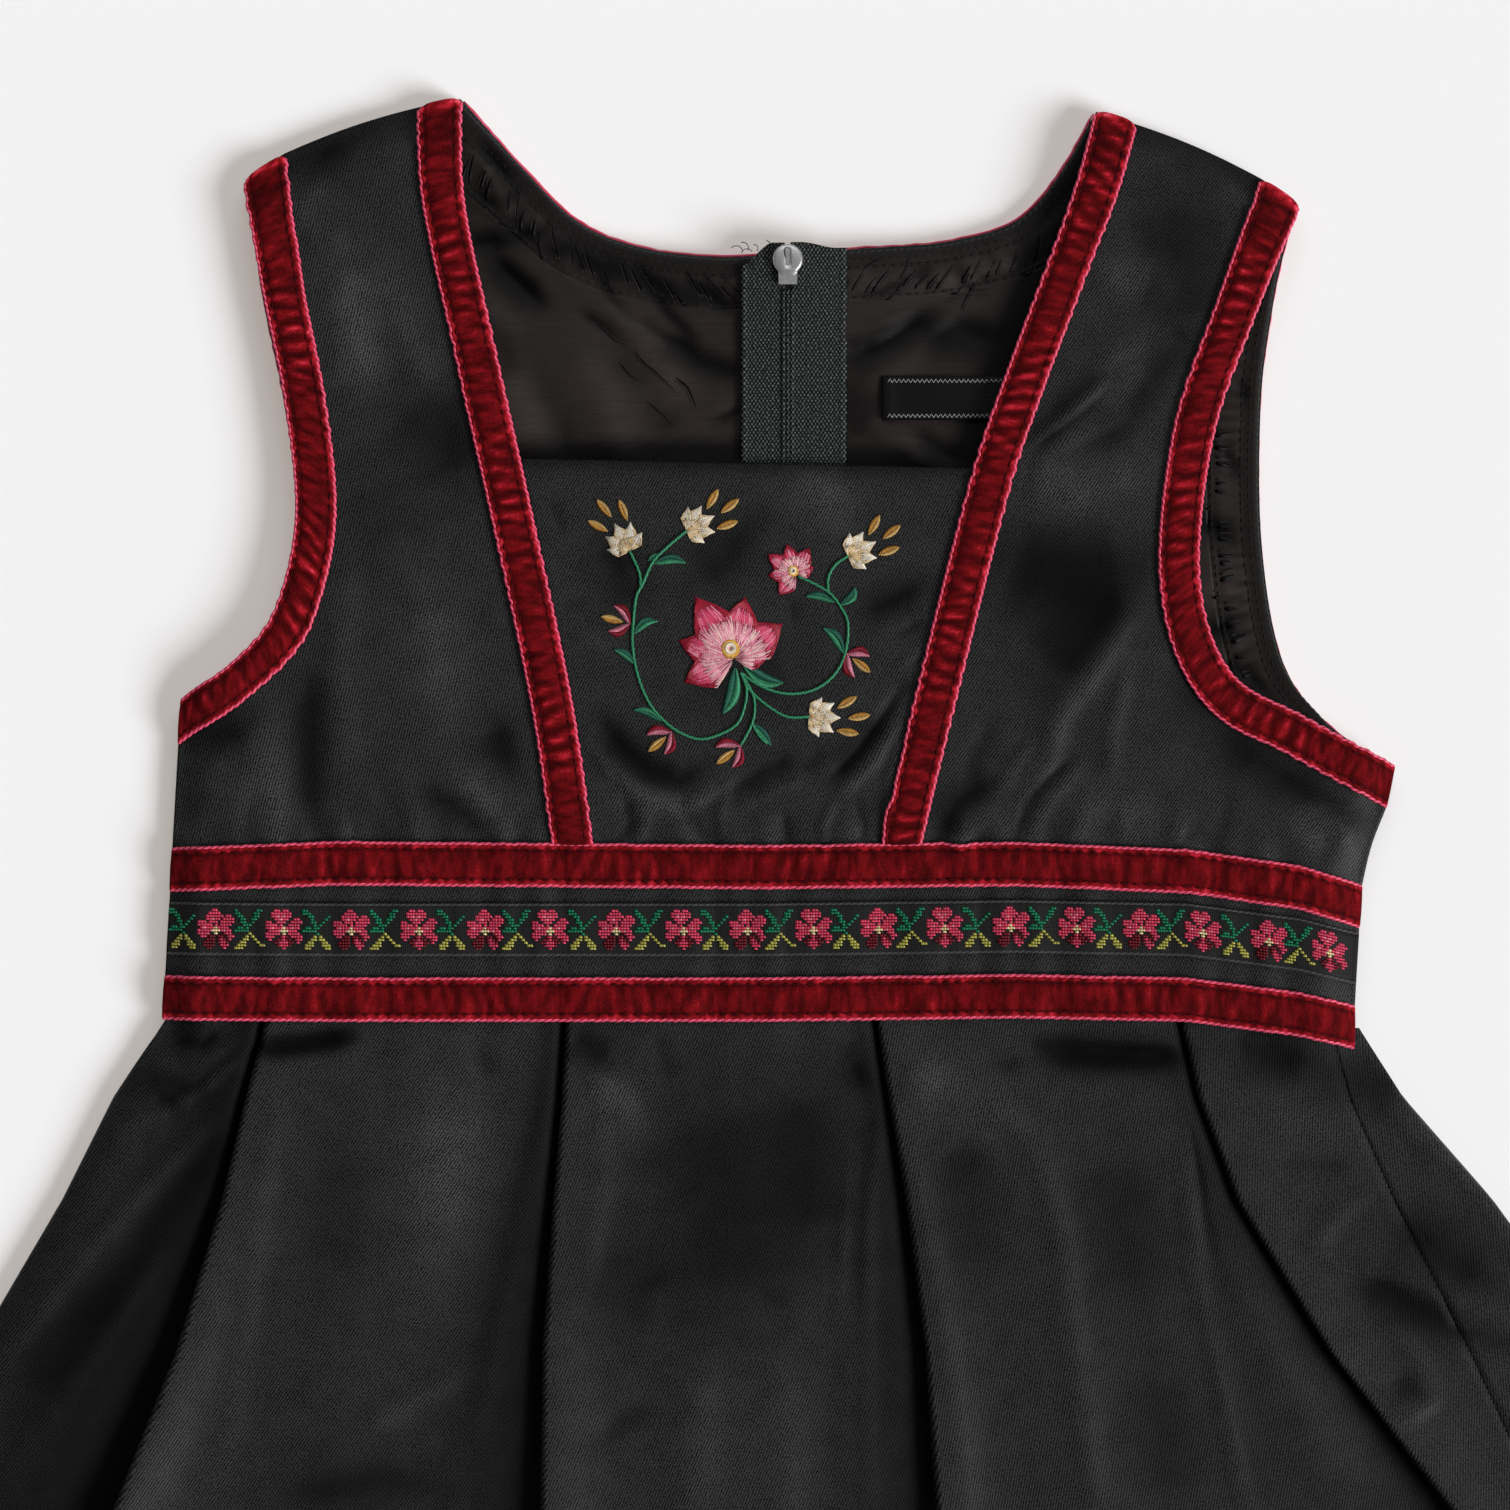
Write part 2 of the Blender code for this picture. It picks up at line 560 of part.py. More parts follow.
# ---------------------------------------------------------------- waist
def waist_net(low, high, x_from=None, x_to=None, rows=1):
    """A net across the waist between two edges given as functions of x."""
    net = []
    for v in np.linspace(0, 1, rows + 1):
        y_left, y_right = low(-140) * (1 - v) + high(-140) * v, low(139) * (1 - v) + high(139) * v
        left = side_x(y_left, 1) if x_from is None else x_from
        right = side_x(y_right, 2) if x_to is None else x_to
        head = [left + r for r in ROLL] if x_from is None else [left]
        tail = [right - r for r in reversed(ROLL)] if x_to is None else [right]
        steps = max(4, round((tail[0] - head[-1]) / 15))
        xs = head[:-1] + list(np.linspace(head[-1], tail[0], steps + 1)) + tail[1:]
        net.append([(x, low(x) * (1 - v) + high(x) * v) for x in xs])
    return np.array(net)


def waist_bands():
    """Lower and upper edge of each strip at the waist, as functions of x."""
    half = RIBBON_W / 2
    return {
        "waistband": (lambda x: waist_seam(x) + half + GAP, lambda x: waist_top(x) - half - GAP),
        "waist_ribbon_top": (lambda x: waist_top(x) - RIBBON_W, waist_top),
        "jacquard_ribbon": (lambda x: waist_seam(x) + JACQUARD[0], lambda x: waist_seam(x) + JACQUARD[1]),
        "waist_ribbon_bottom": (waist_seam, lambda x: waist_seam(x) + RIBBON_W)}


def build_waist():
    """Waistband and its three ribbons, in front and on each half of the back."""
    out = (CLOTH + THIN) / 2 + GAP
    finishes = {"waistband": "satin", "jacquard_ribbon": "jacquard"}
    for name, (low, high) in waist_bands().items():
        finish = finishes.get(name, "velvet")
        band = name == "waistband"
        rows = 2 if band else 1
        net = raised(waist_net(low, high, rows=rows), front_z)
        wall(name + "_front", [net], CLOTH if band else THIN, finish, 0.0 if band else out)
        level = back_layer(BACK_Z if band else RIBBON_BACK_Z)
        left = raised(waist_net(low, high, None, ZIP_X - ZIP_SLOT, rows), level)
        right = raised(waist_net(low, high, ZIP_X + ZIP_SLOT, None, rows), level)
        wall(name + "_back_left", [left], THIN, finish)
        wall(name + "_back_right", [right], THIN, finish)


# ---------------------------------------------------------------- zip and label
def tape_z(x, y):
    """The tapes lie on the lining, then on the skirt below the waist."""
    step = min(max((y + 14.0) / 20.0, 0.0), 1.0)
    low = CLOTH + GAP + THIN / 2
    return low + (TAPE_Z - low) * step + lift(x, y)


def build_tapes():
    rows = (ZIP_END, -40.0, -14.0, 6.0, 50.0, 90.0, 120.0, 135.0, 150.0, 160.0, 168.0, 174.0)
    for side, turn in (("left", -1), ("right", 1)):
        inner = ZIP_X + turn * ZIP_SLOT
        outer = ZIP_X + turn * TAPE_W[side]
        net = [[(x, y) for x in np.linspace(inner, outer, 4)] for y in rows + (TAPE_TOP[side],)]
        wall("zip_tape_" + side, [raised(np.array(net), tape_z)], THIN, "tape")


def build_label():
    surface = back_layer(LINING_Z + (THIN + LABEL["thick"]) / 2 + GAP)
    net = [[(x, y) for x in np.linspace(LABEL["left"], LABEL["right"], 5)]
           for y in np.linspace(LABEL["low"], LABEL["high"], 3)]
    wall("label", [raised(np.array(net), surface)], LABEL["thick"], "label")


def slider_outline():
    """Round head above, narrower foot below."""
    s = SLIDER
    start = math.asin(-(s["head_y"] - 175.6) / s["head_r"])
    arc = [(ZIP_X + s["head_r"] * math.cos(a), s["head_y"] + s["head_r"] * math.sin(a))
           for a in np.linspace(start, math.pi - start, 17)]
    foot = [(ZIP_X - s["foot_half"], s["foot_y"]), (ZIP_X + s["foot_half"], s["foot_y"])]
    return arc + foot


def build_slider():
    """Inner plate, and a blade through the slot with a window for the tab's cross bar."""
    s = SLIDER
    plate_low = TAPE_Z + THIN / 2 + GAP + LIFT["height"]
    slider = prism("zip_slider", slider_outline(), plate_low, plate_low + s["plate"], "metal")
    reach = s["window_half"] + s["leg"]
    bottom = PIVOT_Z - s["window_half"] - s["bar"]
    blade = block("slider_blade", (ZIP_X - s["blade_half"], PIVOT_Y - reach, bottom),
                  (ZIP_X + s["blade_half"], PIVOT_Y + reach, plate_low + s["plate"] / 2), "metal")
    window = block("slider_window", (ZIP_X - 2, PIVOT_Y - s["window_half"], PIVOT_Z - s["window_half"]),
                   (ZIP_X + 2, PIVOT_Y + s["window_half"], PIVOT_Z + s["window_half"]), "metal")
    combine(slider, blade, "UNION")
    combine(slider, window, "DIFFERENCE")


def build_tab():
    """The pull tab, its origin on the hinge axis, lying down the outside of the back."""
    t = TAB
    end = [(t["half_width"] * math.cos(a), -t["length"] + t["half_width"] * (1 + math.sin(a)))
           for a in np.linspace(-math.pi, 0, 9)]
    outline = [(-t["half_width"], t["cross"])] + end + [(t["half_width"], t["cross"])]
    tab = prism("zip_pull_tab", outline, -t["thick"] / 2, t["thick"] / 2, "metal")
    eye = block("tab_eye", (-t["eye_half"], -t["eye_far"], -1), (t["eye_half"], -t["cross"], 1), "metal")
    combine(tab, eye, "DIFFERENCE")
    for obj in (tab, eye):
        obj.location = (ZIP_X * MM, PIVOT_Y * MM, PIVOT_Z * MM)
        obj.rotation_euler = (math.radians(t["droop_deg"]), 0, 0)


# ---------------------------------------------------------------- skirt
def line_x(name, y):
    column = LINE_NAMES.index(name) + 1
    rows = SKIRT_LINES[::-1]
    return float(np.interp(y, [r[0] for r in rows], [r[column] for r in rows]))


def row_y(share, x):
    """Y on a row of the skirt, a share of the way from the waist seam to the curved hem."""
    edge_y = share * (HEM_Y + HEM_RISE)
    left, right = line_x("left", edge_y), line_x("right", edge_y)
    across = (2 * x - left - right) / (right - left)
    top = waist_seam(x) + RIBBON_W / 2 - GAP
    return top + share * (HEM_Y + HEM_RISE * across ** 2 - top)


def line_at(name, share):
    """X of a named line on a row."""
    x = line_x(name, share * HEM_Y)
    for _ in range(4):
        x = line_x(name, row_y(share, x))
    return x


def turn_points(x_end, level, direction):
    """A pressed fold from one layer up to the next; x_end is its outermost point."""
    radius = PLY / 2
    middle = x_end - direction * (CLOTH / 2 + radius)
    angles = np.linspace(-math.pi / 2, math.pi / 2, TURN_STEPS + 1)
    return [(middle + direction * radius * math.cos(a), level + 0.5 + 0.5 * math.sin(a)) for a in angles]


def drop_points(x, high, low):
    """The soft roll from one layer down to another."""
    steps = ((-4.0, 0.0), (-1.6, 0.22), (0.6, 0.72), (3.0, 1.0))
    return [(x + dx, high + (low - high) * share) for dx, share in steps]


def flat_points(x_from, x_to, level):
    return [(x, level) for x in np.linspace(x_from, x_to, PANEL_STEPS + 2)[1:-1]]


def front_section(share):
    """Points (x, layer) across the front skirt: layer 2 shows, 1 and 0 lie in the pleats."""
    left = line_at("left", share)
    points = [(left + 0.5, 0.0), (left + 2.5, 0.9), (left + 5.5, 1.7), (left + 9.5, 2.0)]
    for pleat in FRONT_PLEATS:
        edge = line_at(pleat["edge"], share)
        soft = min(line_at(pleat["soft"], share) + 1.0, edge - 4.5)
        points += flat_points(points[-1][0], soft - 4.0, 2.0)
        points += drop_points(soft, 2.0, 0.0)
        points += turn_points(edge + pleat["depth"], 0.0, 1)
        points += turn_points(edge, 1.0, -1)
        points.append((edge + 4.0, 2.0))
    seam = line_at("seam", share) - GAP / 2
    return points + flat_points(points[-1][0], seam, 2.0)[::2] + [(seam, 2.0)]


def skirt_front_z(x, y, layer):
    """Height of a layer of the front skirt; by the waist its sides roll down like the band's."""
    flat = SKIRT_LOW_Z + PLY * layer + rise(x, y) + fold_height(x, y) * max(layer - 1.0, 0.0)
    droop = (FRONT_Z + WAIST_RAISE - EDGE_Z) * (1 - side_share(x, y))
    return flat - droop * rise(x, y) * layer / 2


def back_section(side, share):
    """Points (x, layer) across half of the back skirt: layer 0 is outermost, on the ground."""
    y_centre = row_y(share, ZIP_X)
    slot = ZIP_SLOT if y_centre > ZIP_END - 20 else GAP / 2
    if side == "left":
        points = [(line_at("left", share) + 0.6, 0.0)]
    else:
        points = [(ZIP_X + slot, 0.0)]
    for pleat in BACK_PLEATS[side]:
        fold = pleat["fold"][0] + (pleat["fold"][1] - pleat["fold"][0]) * share
        soft = pleat["soft"][0] + (pleat["soft"][1] - pleat["soft"][0]) * share
        points += flat_points(points[-1][0], fold - 3.0, 0.0)[::2]
        points += turn_points(fold, 0.0, 1)
        points += turn_points(fold - BACK_DEPTH, 1.0, -1)
        points += drop_points(soft, 2.0, 0.0)
    last = ZIP_X - slot if side == "left" else line_at("right", share) - 5.0
    return points + flat_points(points[-1][0], last, 0.0)[::2] + [(last, 0.0)]


def skirt_back_z(x, y, layer):
    return SKIRT_BACK_Z + PLY * layer + SKIRT_WAIST_RISE * rise(x, y)


def wrap_points(share):
    """The back's right edge, turned over to the front as far as the side seam."""
    right, seam = line_at("right", share), line_at("seam", share) + GAP / 2
    points = []
    for angle in np.linspace(-math.pi / 2, math.pi / 2, 6)[1:]:
        x = right - 3.0 + 2.4 * math.cos(angle)
        y = row_y(share, x)
        low, high = skirt_back_z(x, y, 0.0), skirt_front_z(x, y, 2.0)
        points.append((x, y, (low + high) / 2 + (high - low) / 2 * math.sin(angle)))
    for x in np.linspace(right - 3.0, seam, 3)[1:]:
        y = row_y(share, x)
        points.append((x, y, skirt_front_z(x, y, 2.0)))
    return points


def build_skirt():
    front = []
    backs = {"left": [], "right": []}
    for share in ROWS:
        rows = [(x, row_y(share, x), layer) for x, layer in front_section(share)]
        front.append([(x, y, skirt_front_z(x, y, layer)) for x, y, layer in rows])
        for side, net in backs.items():
            rows = [(x, row_y(share, x), layer) for x, layer in back_section(side, share)]
            net.append([(x, y, skirt_back_z(x, y, layer)) for x, y, layer in rows])
        backs["right"][-1] += wrap_points(share)
    wall("skirt_front", [np.array(front)], CLOTH, "satin")
    for side, net in backs.items():
        wall("skirt_back_" + side, [np.array(net)], CLOTH, "satin")


# ---------------------------------------------------------------- the whole dress
def set_over_origin():
    """Move everything so that the dress lies on z = 0 with its box centred on the origin."""
    bpy.context.view_layer.update()
    solid = [o for o in bpy.data.objects if not o.hide_render]
    corners = np.array([o.matrix_world @ v.co for o in solid for v in o.data.vertices])
    low, high = corners.min(axis=0), corners.max(axis=0)
    shift = (-(low[0] + high[0]) / 2, -(low[1] + high[1]) / 2, -low[2])
    for obj in bpy.data.objects:
        obj.location = [c + s for c, s in zip(obj.location, shift)]
    bpy.context.view_layer.update()


def main():
    clear_scene()
    for side in ("left", "right"):
        build_back(side)
        build_front(side)
    build_plastron()
    build_waist()
    build_tapes()
    build_label()
    build_slider()
    build_tab()
    build_skirt()
    set_over_origin()


main()
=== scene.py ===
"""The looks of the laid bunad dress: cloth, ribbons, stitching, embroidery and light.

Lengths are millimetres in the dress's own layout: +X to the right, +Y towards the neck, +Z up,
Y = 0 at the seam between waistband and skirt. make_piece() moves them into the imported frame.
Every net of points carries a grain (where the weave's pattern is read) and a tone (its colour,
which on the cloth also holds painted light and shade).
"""
import math

import bpy
import numpy as np
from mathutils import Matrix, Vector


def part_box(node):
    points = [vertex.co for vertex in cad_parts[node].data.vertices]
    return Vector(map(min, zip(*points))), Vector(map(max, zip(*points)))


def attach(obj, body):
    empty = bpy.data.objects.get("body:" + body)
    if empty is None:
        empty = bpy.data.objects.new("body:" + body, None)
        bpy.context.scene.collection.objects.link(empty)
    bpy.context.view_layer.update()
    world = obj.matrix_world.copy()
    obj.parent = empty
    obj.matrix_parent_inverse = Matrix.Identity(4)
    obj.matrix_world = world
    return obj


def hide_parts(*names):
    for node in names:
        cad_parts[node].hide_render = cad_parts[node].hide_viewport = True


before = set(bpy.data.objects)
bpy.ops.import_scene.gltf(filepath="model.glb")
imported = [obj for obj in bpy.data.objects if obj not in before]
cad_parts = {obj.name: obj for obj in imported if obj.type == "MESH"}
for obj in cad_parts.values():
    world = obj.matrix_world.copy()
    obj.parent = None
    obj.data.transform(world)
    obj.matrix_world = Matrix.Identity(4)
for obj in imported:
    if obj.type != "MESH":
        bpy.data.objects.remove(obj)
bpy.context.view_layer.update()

MM = 0.001
RNG = np.random.default_rng(7)

# ---- cloth and layers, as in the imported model
CLOTH, THIN, GAP = 1.2, 1.0, 0.3       # walls of the front and of the layers below, space in a seam
PLY = CLOTH + 0.4       # from one layer of a pleat to the next
RIBBON_W, EDGE_RIBBON_W = 9.2, 8.6      # at the waist, and along the neck and the armholes
FRONT_Z, WAIST_RAISE, SKIRT_LOW_Z, EDGE_Z = 6.0, 0.6, 2.4, 3.4
ROLL = 9.0              # width over which the front rolls down to a side or shoulder seam
ROLL_STEPS = (0.0, 0.7, 1.6, 3.0, 4.6, 6.6)     # where its columns lie on the way
TURN_LENGTH = 30.0      # length over which a strip's rows turn into line with a seam
SHOULDER_BULGE, BULGE_REACH, SHOULDER_FROM_Y = 2.0, 25.0, 150.0
WAIST_EASE = 20.0       # height over which the bodice comes down from its raise at the waist
NECK_TURN_Y = 132.0     # where the back's edge turns from the zip into the neckline
RIBBON_BACK_Z = THIN / 2
BACK_Z = THIN + GAP + THIN / 2
LINING_Z = BACK_Z + THIN + GAP
TAPE_Z = LINING_Z + THIN + GAP
LINING_INSET, LINING_EDGE, LINING_TIP = 8.0, 0.8, 2.5     # inside the side seam, edges and tips
LINING_STRIP = 11.5     # width of lining along an edge that both rows of stitches gather
TWILL_PITCH, CROSS_PITCH = 0.63, 0.44
SKIRT_BACK_Z, SKIRT_WAIST_RISE = CLOTH / 2, 1.3
RISE_FROM, RISE_TO = -14.0, -2.0        # y between which the skirt rises over the back's ribbon

# ---- bodice outline: rows of (x, y) on each side
SIGN = {"left": 1, "right": -1}     # direction in x from a side towards the centre
SIDE = {
    "left": ((-139, 34), (-137.3, 65)),
    "right": ((140.5, 28), (143.5, 40), (147.3, 50))}
ARMHOLE = {
    "left": ((-136.5, 74.5), (-123.5, 84), (-114, 96), (-109, 118), (-111.5, 145), (-116.5, 170),
             (-121.5, 197.5)),
    "right": ((149, 59), (127.5, 70.5), (110, 81), (102.5, 103), (105.5, 136), (115, 164),
              (126.5, 191.5))}
BACK_ARMHOLE = {
    "left": ((-136.5, 74.5), (-123.4, 84.3), (-113.9, 96.3), (-109.5, 118), (-112.5, 145),
             (-117.6, 170), (-121.5, 197.5)),
    "right": ((149, 59), (134, 69), (123, 84), (118, 112), (117.8, 145), (120.5, 167), (123.3, 180.5),
              (126.5, 191.5))}
NECK = {
    "left": ((-39.5, 36), (-45, 74.5), (-55, 121.5), (-63.5, 159.5), (-70.3, 192), (-71, 216.5)),
    "right": ((27, 36), (37.5, 79.5), (49.5, 126.5), (59, 154.5), (73, 192), (79, 213.5))}
BACK_NECK = {
    "left": ((5.4, 180), (-10, 179.2), (-28.5, 181.6), (-43.5, 187.8), (-57, 201), (-70.8, 216.5)),
    "right": ((7, 180), (27.5, 181.5), (44, 183), (60.5, 188), (71, 199.5), (79, 213.5))}
SHOULDER = {
    "left": {"arm": (-121.5, 197.5), "arm_in": (-112.5, 202.5), "neck_in": (-80.5, 213.5),
             "neck": (-71, 216.5)},
    "right": {"arm": (126.5, 191.5), "arm_in": (118, 196.5), "neck_in": (88, 209.5),
              "neck": (79, 213.5)}}
PLASTRON_TOP = ((-61, 131.5), (-15, 132), (20, 130.7), (55, 129))
WAIST = (   # x, then y of the waistband's top and of the seam below it
    (-141, 39.5, 0.3), (-100, 41.2, 0), (0, 40.3, 0), (60, 41, 0.8), (100, 39.3, 0),
    (126.5, 35.5, -3.5), (140.5, 31, -7))
JACQUARD = (15.1, 26.8)     # the woven ribbon's edges, above the seam
SIDE_WAIST = ((-9, -141, 139.5), (0, -141, 139.5), (34, -139, 141.5), (65, -137.3, 151))

# ---- centre back
ZIP_X, ZIP_SLOT, ZIP_END = 6.2, 0.8, -70
TAPE_W = {"left": 10.8, "right": 13.6}
TAPE_TOP = {"left": 182.3, "right": 182.4}
LABEL = {"left": 28.5, "right": 60, "low": 141, "high": 151, "thick": 0.8}
SLIDER = {"head_y": 178.3, "head_r": 3.5, "foot_y": 172.5, "foot_half": 2.1, "plate": 1.2}
PIVOT_Y = 176.5
LIFT = {"height": 2.6, "spread_x": 22, "spread_y": 18}

# ---- skirt
HEM_Y, HEM_RISE = -357, 32
LINE_NAMES = ("left", "soft1", "edge1", "soft2", "edge2", "soft3", "edge3", "soft4", "edge4",
              "seam", "right")
SKIRT_LINES = (  # columns: y, then x of each line named above
    (0, -140.5, -117.5, -116.5, -47, -46, 26.5, 27, 98, 98.5, 133.5, 139.5),
    (-19, -153, -124, -121.5, -49.5, -47, 26.5, 30, 101.5, 103, 138.5, 151.5),
    (-43, -165, -138.5, -127, -55.5, -49, 25.5, 34, 105, 112, 149, 172.5),
    (-78, -185.5, -162, -137.5, -64.5, -51.5, 23.5, 38.5, 111.5, 133.5, 166.5, 198),
    (-116, -204.5, -181, -152.5, -72, -52, 23.5, 41, 121.5, 162.5, 184, 218),
    (-196, -240, -207.5, -180, -85, -57, 25.5, 50, 143, 201.5, 218.5, 252),
    (-325, -285, -242.5, -223.5, -101.5, -66.5, 30, 67.5, 173.5, 241.5, 258, 293.5),
    (-360, -293, -250, -232, -105, -69, 31.5, 71, 181, 251, 267, 302))
FRONT_PLEATS = tuple({"soft": f"soft{k}", "edge": f"edge{k}", "depth": depth}
                     for k, depth in enumerate((13, 13, 13, 9), 1))
BACK_PLEATS = {
    "left": ({"fold": (-80, -172), "soft": (-78.5, -150)},
             {"fold": (-14, -22), "soft": (-12.5, -8)}),
    "right": ({"fold": (59, 112), "soft": (60.5, 134)},
              {"fold": (84, 150), "soft": (85.5, 160)})}
BACK_DEPTH = 13
PANEL_TILT = (-14, -9, 2, 14.5, 23)   # degrees that the grain of each panel leans, left positive
WRAP_TILT = 30
BODICE_TILT = {"left": 11, "right": -10, "plastron": -2}
TWILL_LINES = (65, 140)     # directions of the twill line and of its cross structure, in degrees

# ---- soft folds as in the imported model: half width, height, then the points of the crest
FOLDS = (
    (14, 1, -150, -60, -215, -260), (16, 1.3, -85, -20, -150, -340), (18, 1.2, -5, -20, -18, -345),
    (16, 1.3, 62, -20, 112, -345), (10, 0.8, 150, -80, 215, -300), (14, 0.8, -88, 55, -92, 150),
    (14, 0.9, 88, 55, 78, 140), (20, 0.6, -18, 62, -16, 115))
# ---- finer creases, the same columns
FRONT_CREASES = (
    (2, 1, -109, 191, -101, 200, -91, 207, -84, 210), (2.4, 0.6, -110, 189, -104, 183, -97, 181),
    (6, 1.2, -98, 176, -97, 160, -96, 148), (4, 1, -90, 176, -84, 162, -80, 149),
    (5, -0.6, -74, 148, -74, 138, -72, 128), (4.5, 1.4, -121, 74, -117, 62, -113, 48, -112, 41),
    (3, -0.6, -131, 66, -124, 67, -119, 75), (3.5, -0.7, -106, 82, -107, 64, -106, 42),
    (4, 0.9, -98, 104, -100, 84, -98, 60), (3, -0.8, -63, 70, -61, 64, -60, 58),
    (1.6, -0.9, -80, 54, -73, 51, -67, 45), (2.2, 0.8, -76, 58, -68, 54, -63, 47),
    (1.1, -0.5, -91, 57, -86, 50, -83, 43), (1.1, -0.5, -97, 50, -95, 44, -96, 41),
    (1.3, -0.5, -120, 50, -121, 43), (1.3, 0.5, -110, 50, -107, 42),
    (1.4, 0.6, -64, 48, -60, 46, -56, 51), (1.2, -0.5, -68, 48, -70, 42),
    (1.3, 0.5, -132, 48, -133, 43), (5, 0.7, -84, 110, -78, 92, -76, 66),
    (2.2, 1, 89, 203, 100, 203, 108, 198, 115, 190), (4, 0.9, 77, 175, 84, 174, 92, 176, 97, 170),
    (1.2, -0.6, 97, 163, 99, 159), (1.2, 0.7, 63, 136, 71, 142, 81, 150),
    (1.4, 0.8, 66, 133, 74, 137, 85, 142), (1, -0.5, 64, 134, 71, 139, 79, 145),
    (2.5, 0.8, 70, 151, 80, 155, 91, 161), (5, 1.1, 62, 127, 74, 124, 88, 130),
    (8, -0.5, 58, 108, 72, 105, 84, 106), (6, -0.5, 84, 103, 77, 92, 68, 80),
    (3.2, 1.3, 89, 101, 80, 86, 70, 72, 66, 60), (2, 0.7, 86, 82, 82, 68, 82, 58),
    (2.2, -1, 53, 55, 46, 51, 42, 43), (1.8, 1, 54, 48, 48, 45, 45, 40),
    (2.5, -0.6, 54, 70, 50, 62, 49, 54), (1.3, -0.8, 72, 61, 64, 52, 60, 43),
    (1.4, 0.8, 74, 59, 66, 50, 63, 43), (1.3, 0.6, 64, 66, 58, 58, 55, 52),
    (4, -0.6, 106, 68, 116, 61), (2.5, -0.8, 118, 58, 130, 52, 142, 46),
    (1.8, 1.1, 121, 49, 128, 49, 136, 45, 140, 40), (1.4, 0.8, 123, 46, 128, 44, 131, 40),
    (1.4, -0.6, 124, 49, 131, 47, 136, 41), (1.6, 0.6, 98, 50, 97, 42), (1.4, -0.5, 110, 52, 108, 42),
    (1.2, 0.5, 76, 50, 73, 42), (1.4, 0.5, 86, 52, 84, 42), (1.2, -0.6, 102, 46, 100, 41),
    (2.6, -1.1, -39, 71, -34, 64, -27, 58, -20, 56, -14, 60),
    (1.8, 1, -41, 66, -34, 57, -27, 51, -18, 50, -8, 56), (0.9, -0.5, -41, 67, -37, 62, -33, 55),
    (1.8, -0.8, -32, 52, -31, 46, -33, 42), (1.6, -0.6, -20, 51, -16, 46, -14, 42),
    (1.3, 0.5, -8, 54, -10, 48, -9, 42), (1.2, -0.5, 5, 48, 6, 42), (1.3, 0.5, -27, 48, -29, 42),
    (2, -0.7, -8, 53, 0, 58, 7, 61), (1.7, 0.7, -6, 50, 2, 54, 10, 57), (2.2, -0.6, 9, 58, 14, 63),
    (1.6, -1, 16, 56, 22, 62, 28, 70, 33, 78), (2, 0.9, 18, 53, 26, 61, 32, 71),
    (1.2, -0.6, 22, 51, 24, 45, 23, 41), (1.1, 0.6, 17, 51, 14, 45, 15, 41),
    (2.4, -0.8, 25, 96, 31, 99, 37, 102), (1.6, -0.6, 32, 90, 37, 93), (2, -0.5, 6, 99, 8, 93),
    (1.5, -0.5, -50, 122, -47, 115), (1.2, -0.4, -47, 97, -42, 98),
    (5, 0.7, 10, 128, 16, 121, 14, 113), (3.5, -0.5, -3, 118, -8, 108, -16, 103),
    (3, -0.6, -38, 112, -33, 104), (1.2, 0.5, -44, 90, -38, 88), (1.1, 0.4, 37, 87, 32, 83),
    (1.2, 0.5, 33, 66, 30, 56, 31, 46))
WAIST_CREASES = (
    (3, 0.4, -120, 33, -114, 8), (3.5, 0.4, -84, 33, -86, 8), (3, 0.35, -52, 33, -46, 8),
    (3, 0.4, -20, 33, -24, 8), (3, 0.35, 14, 33, 18, 8), (3.5, 0.4, 44, 33, 40, 8),
    (3, 0.4, 76, 33, 80, 8), (3, 0.45, 108, 30, 104, 6))
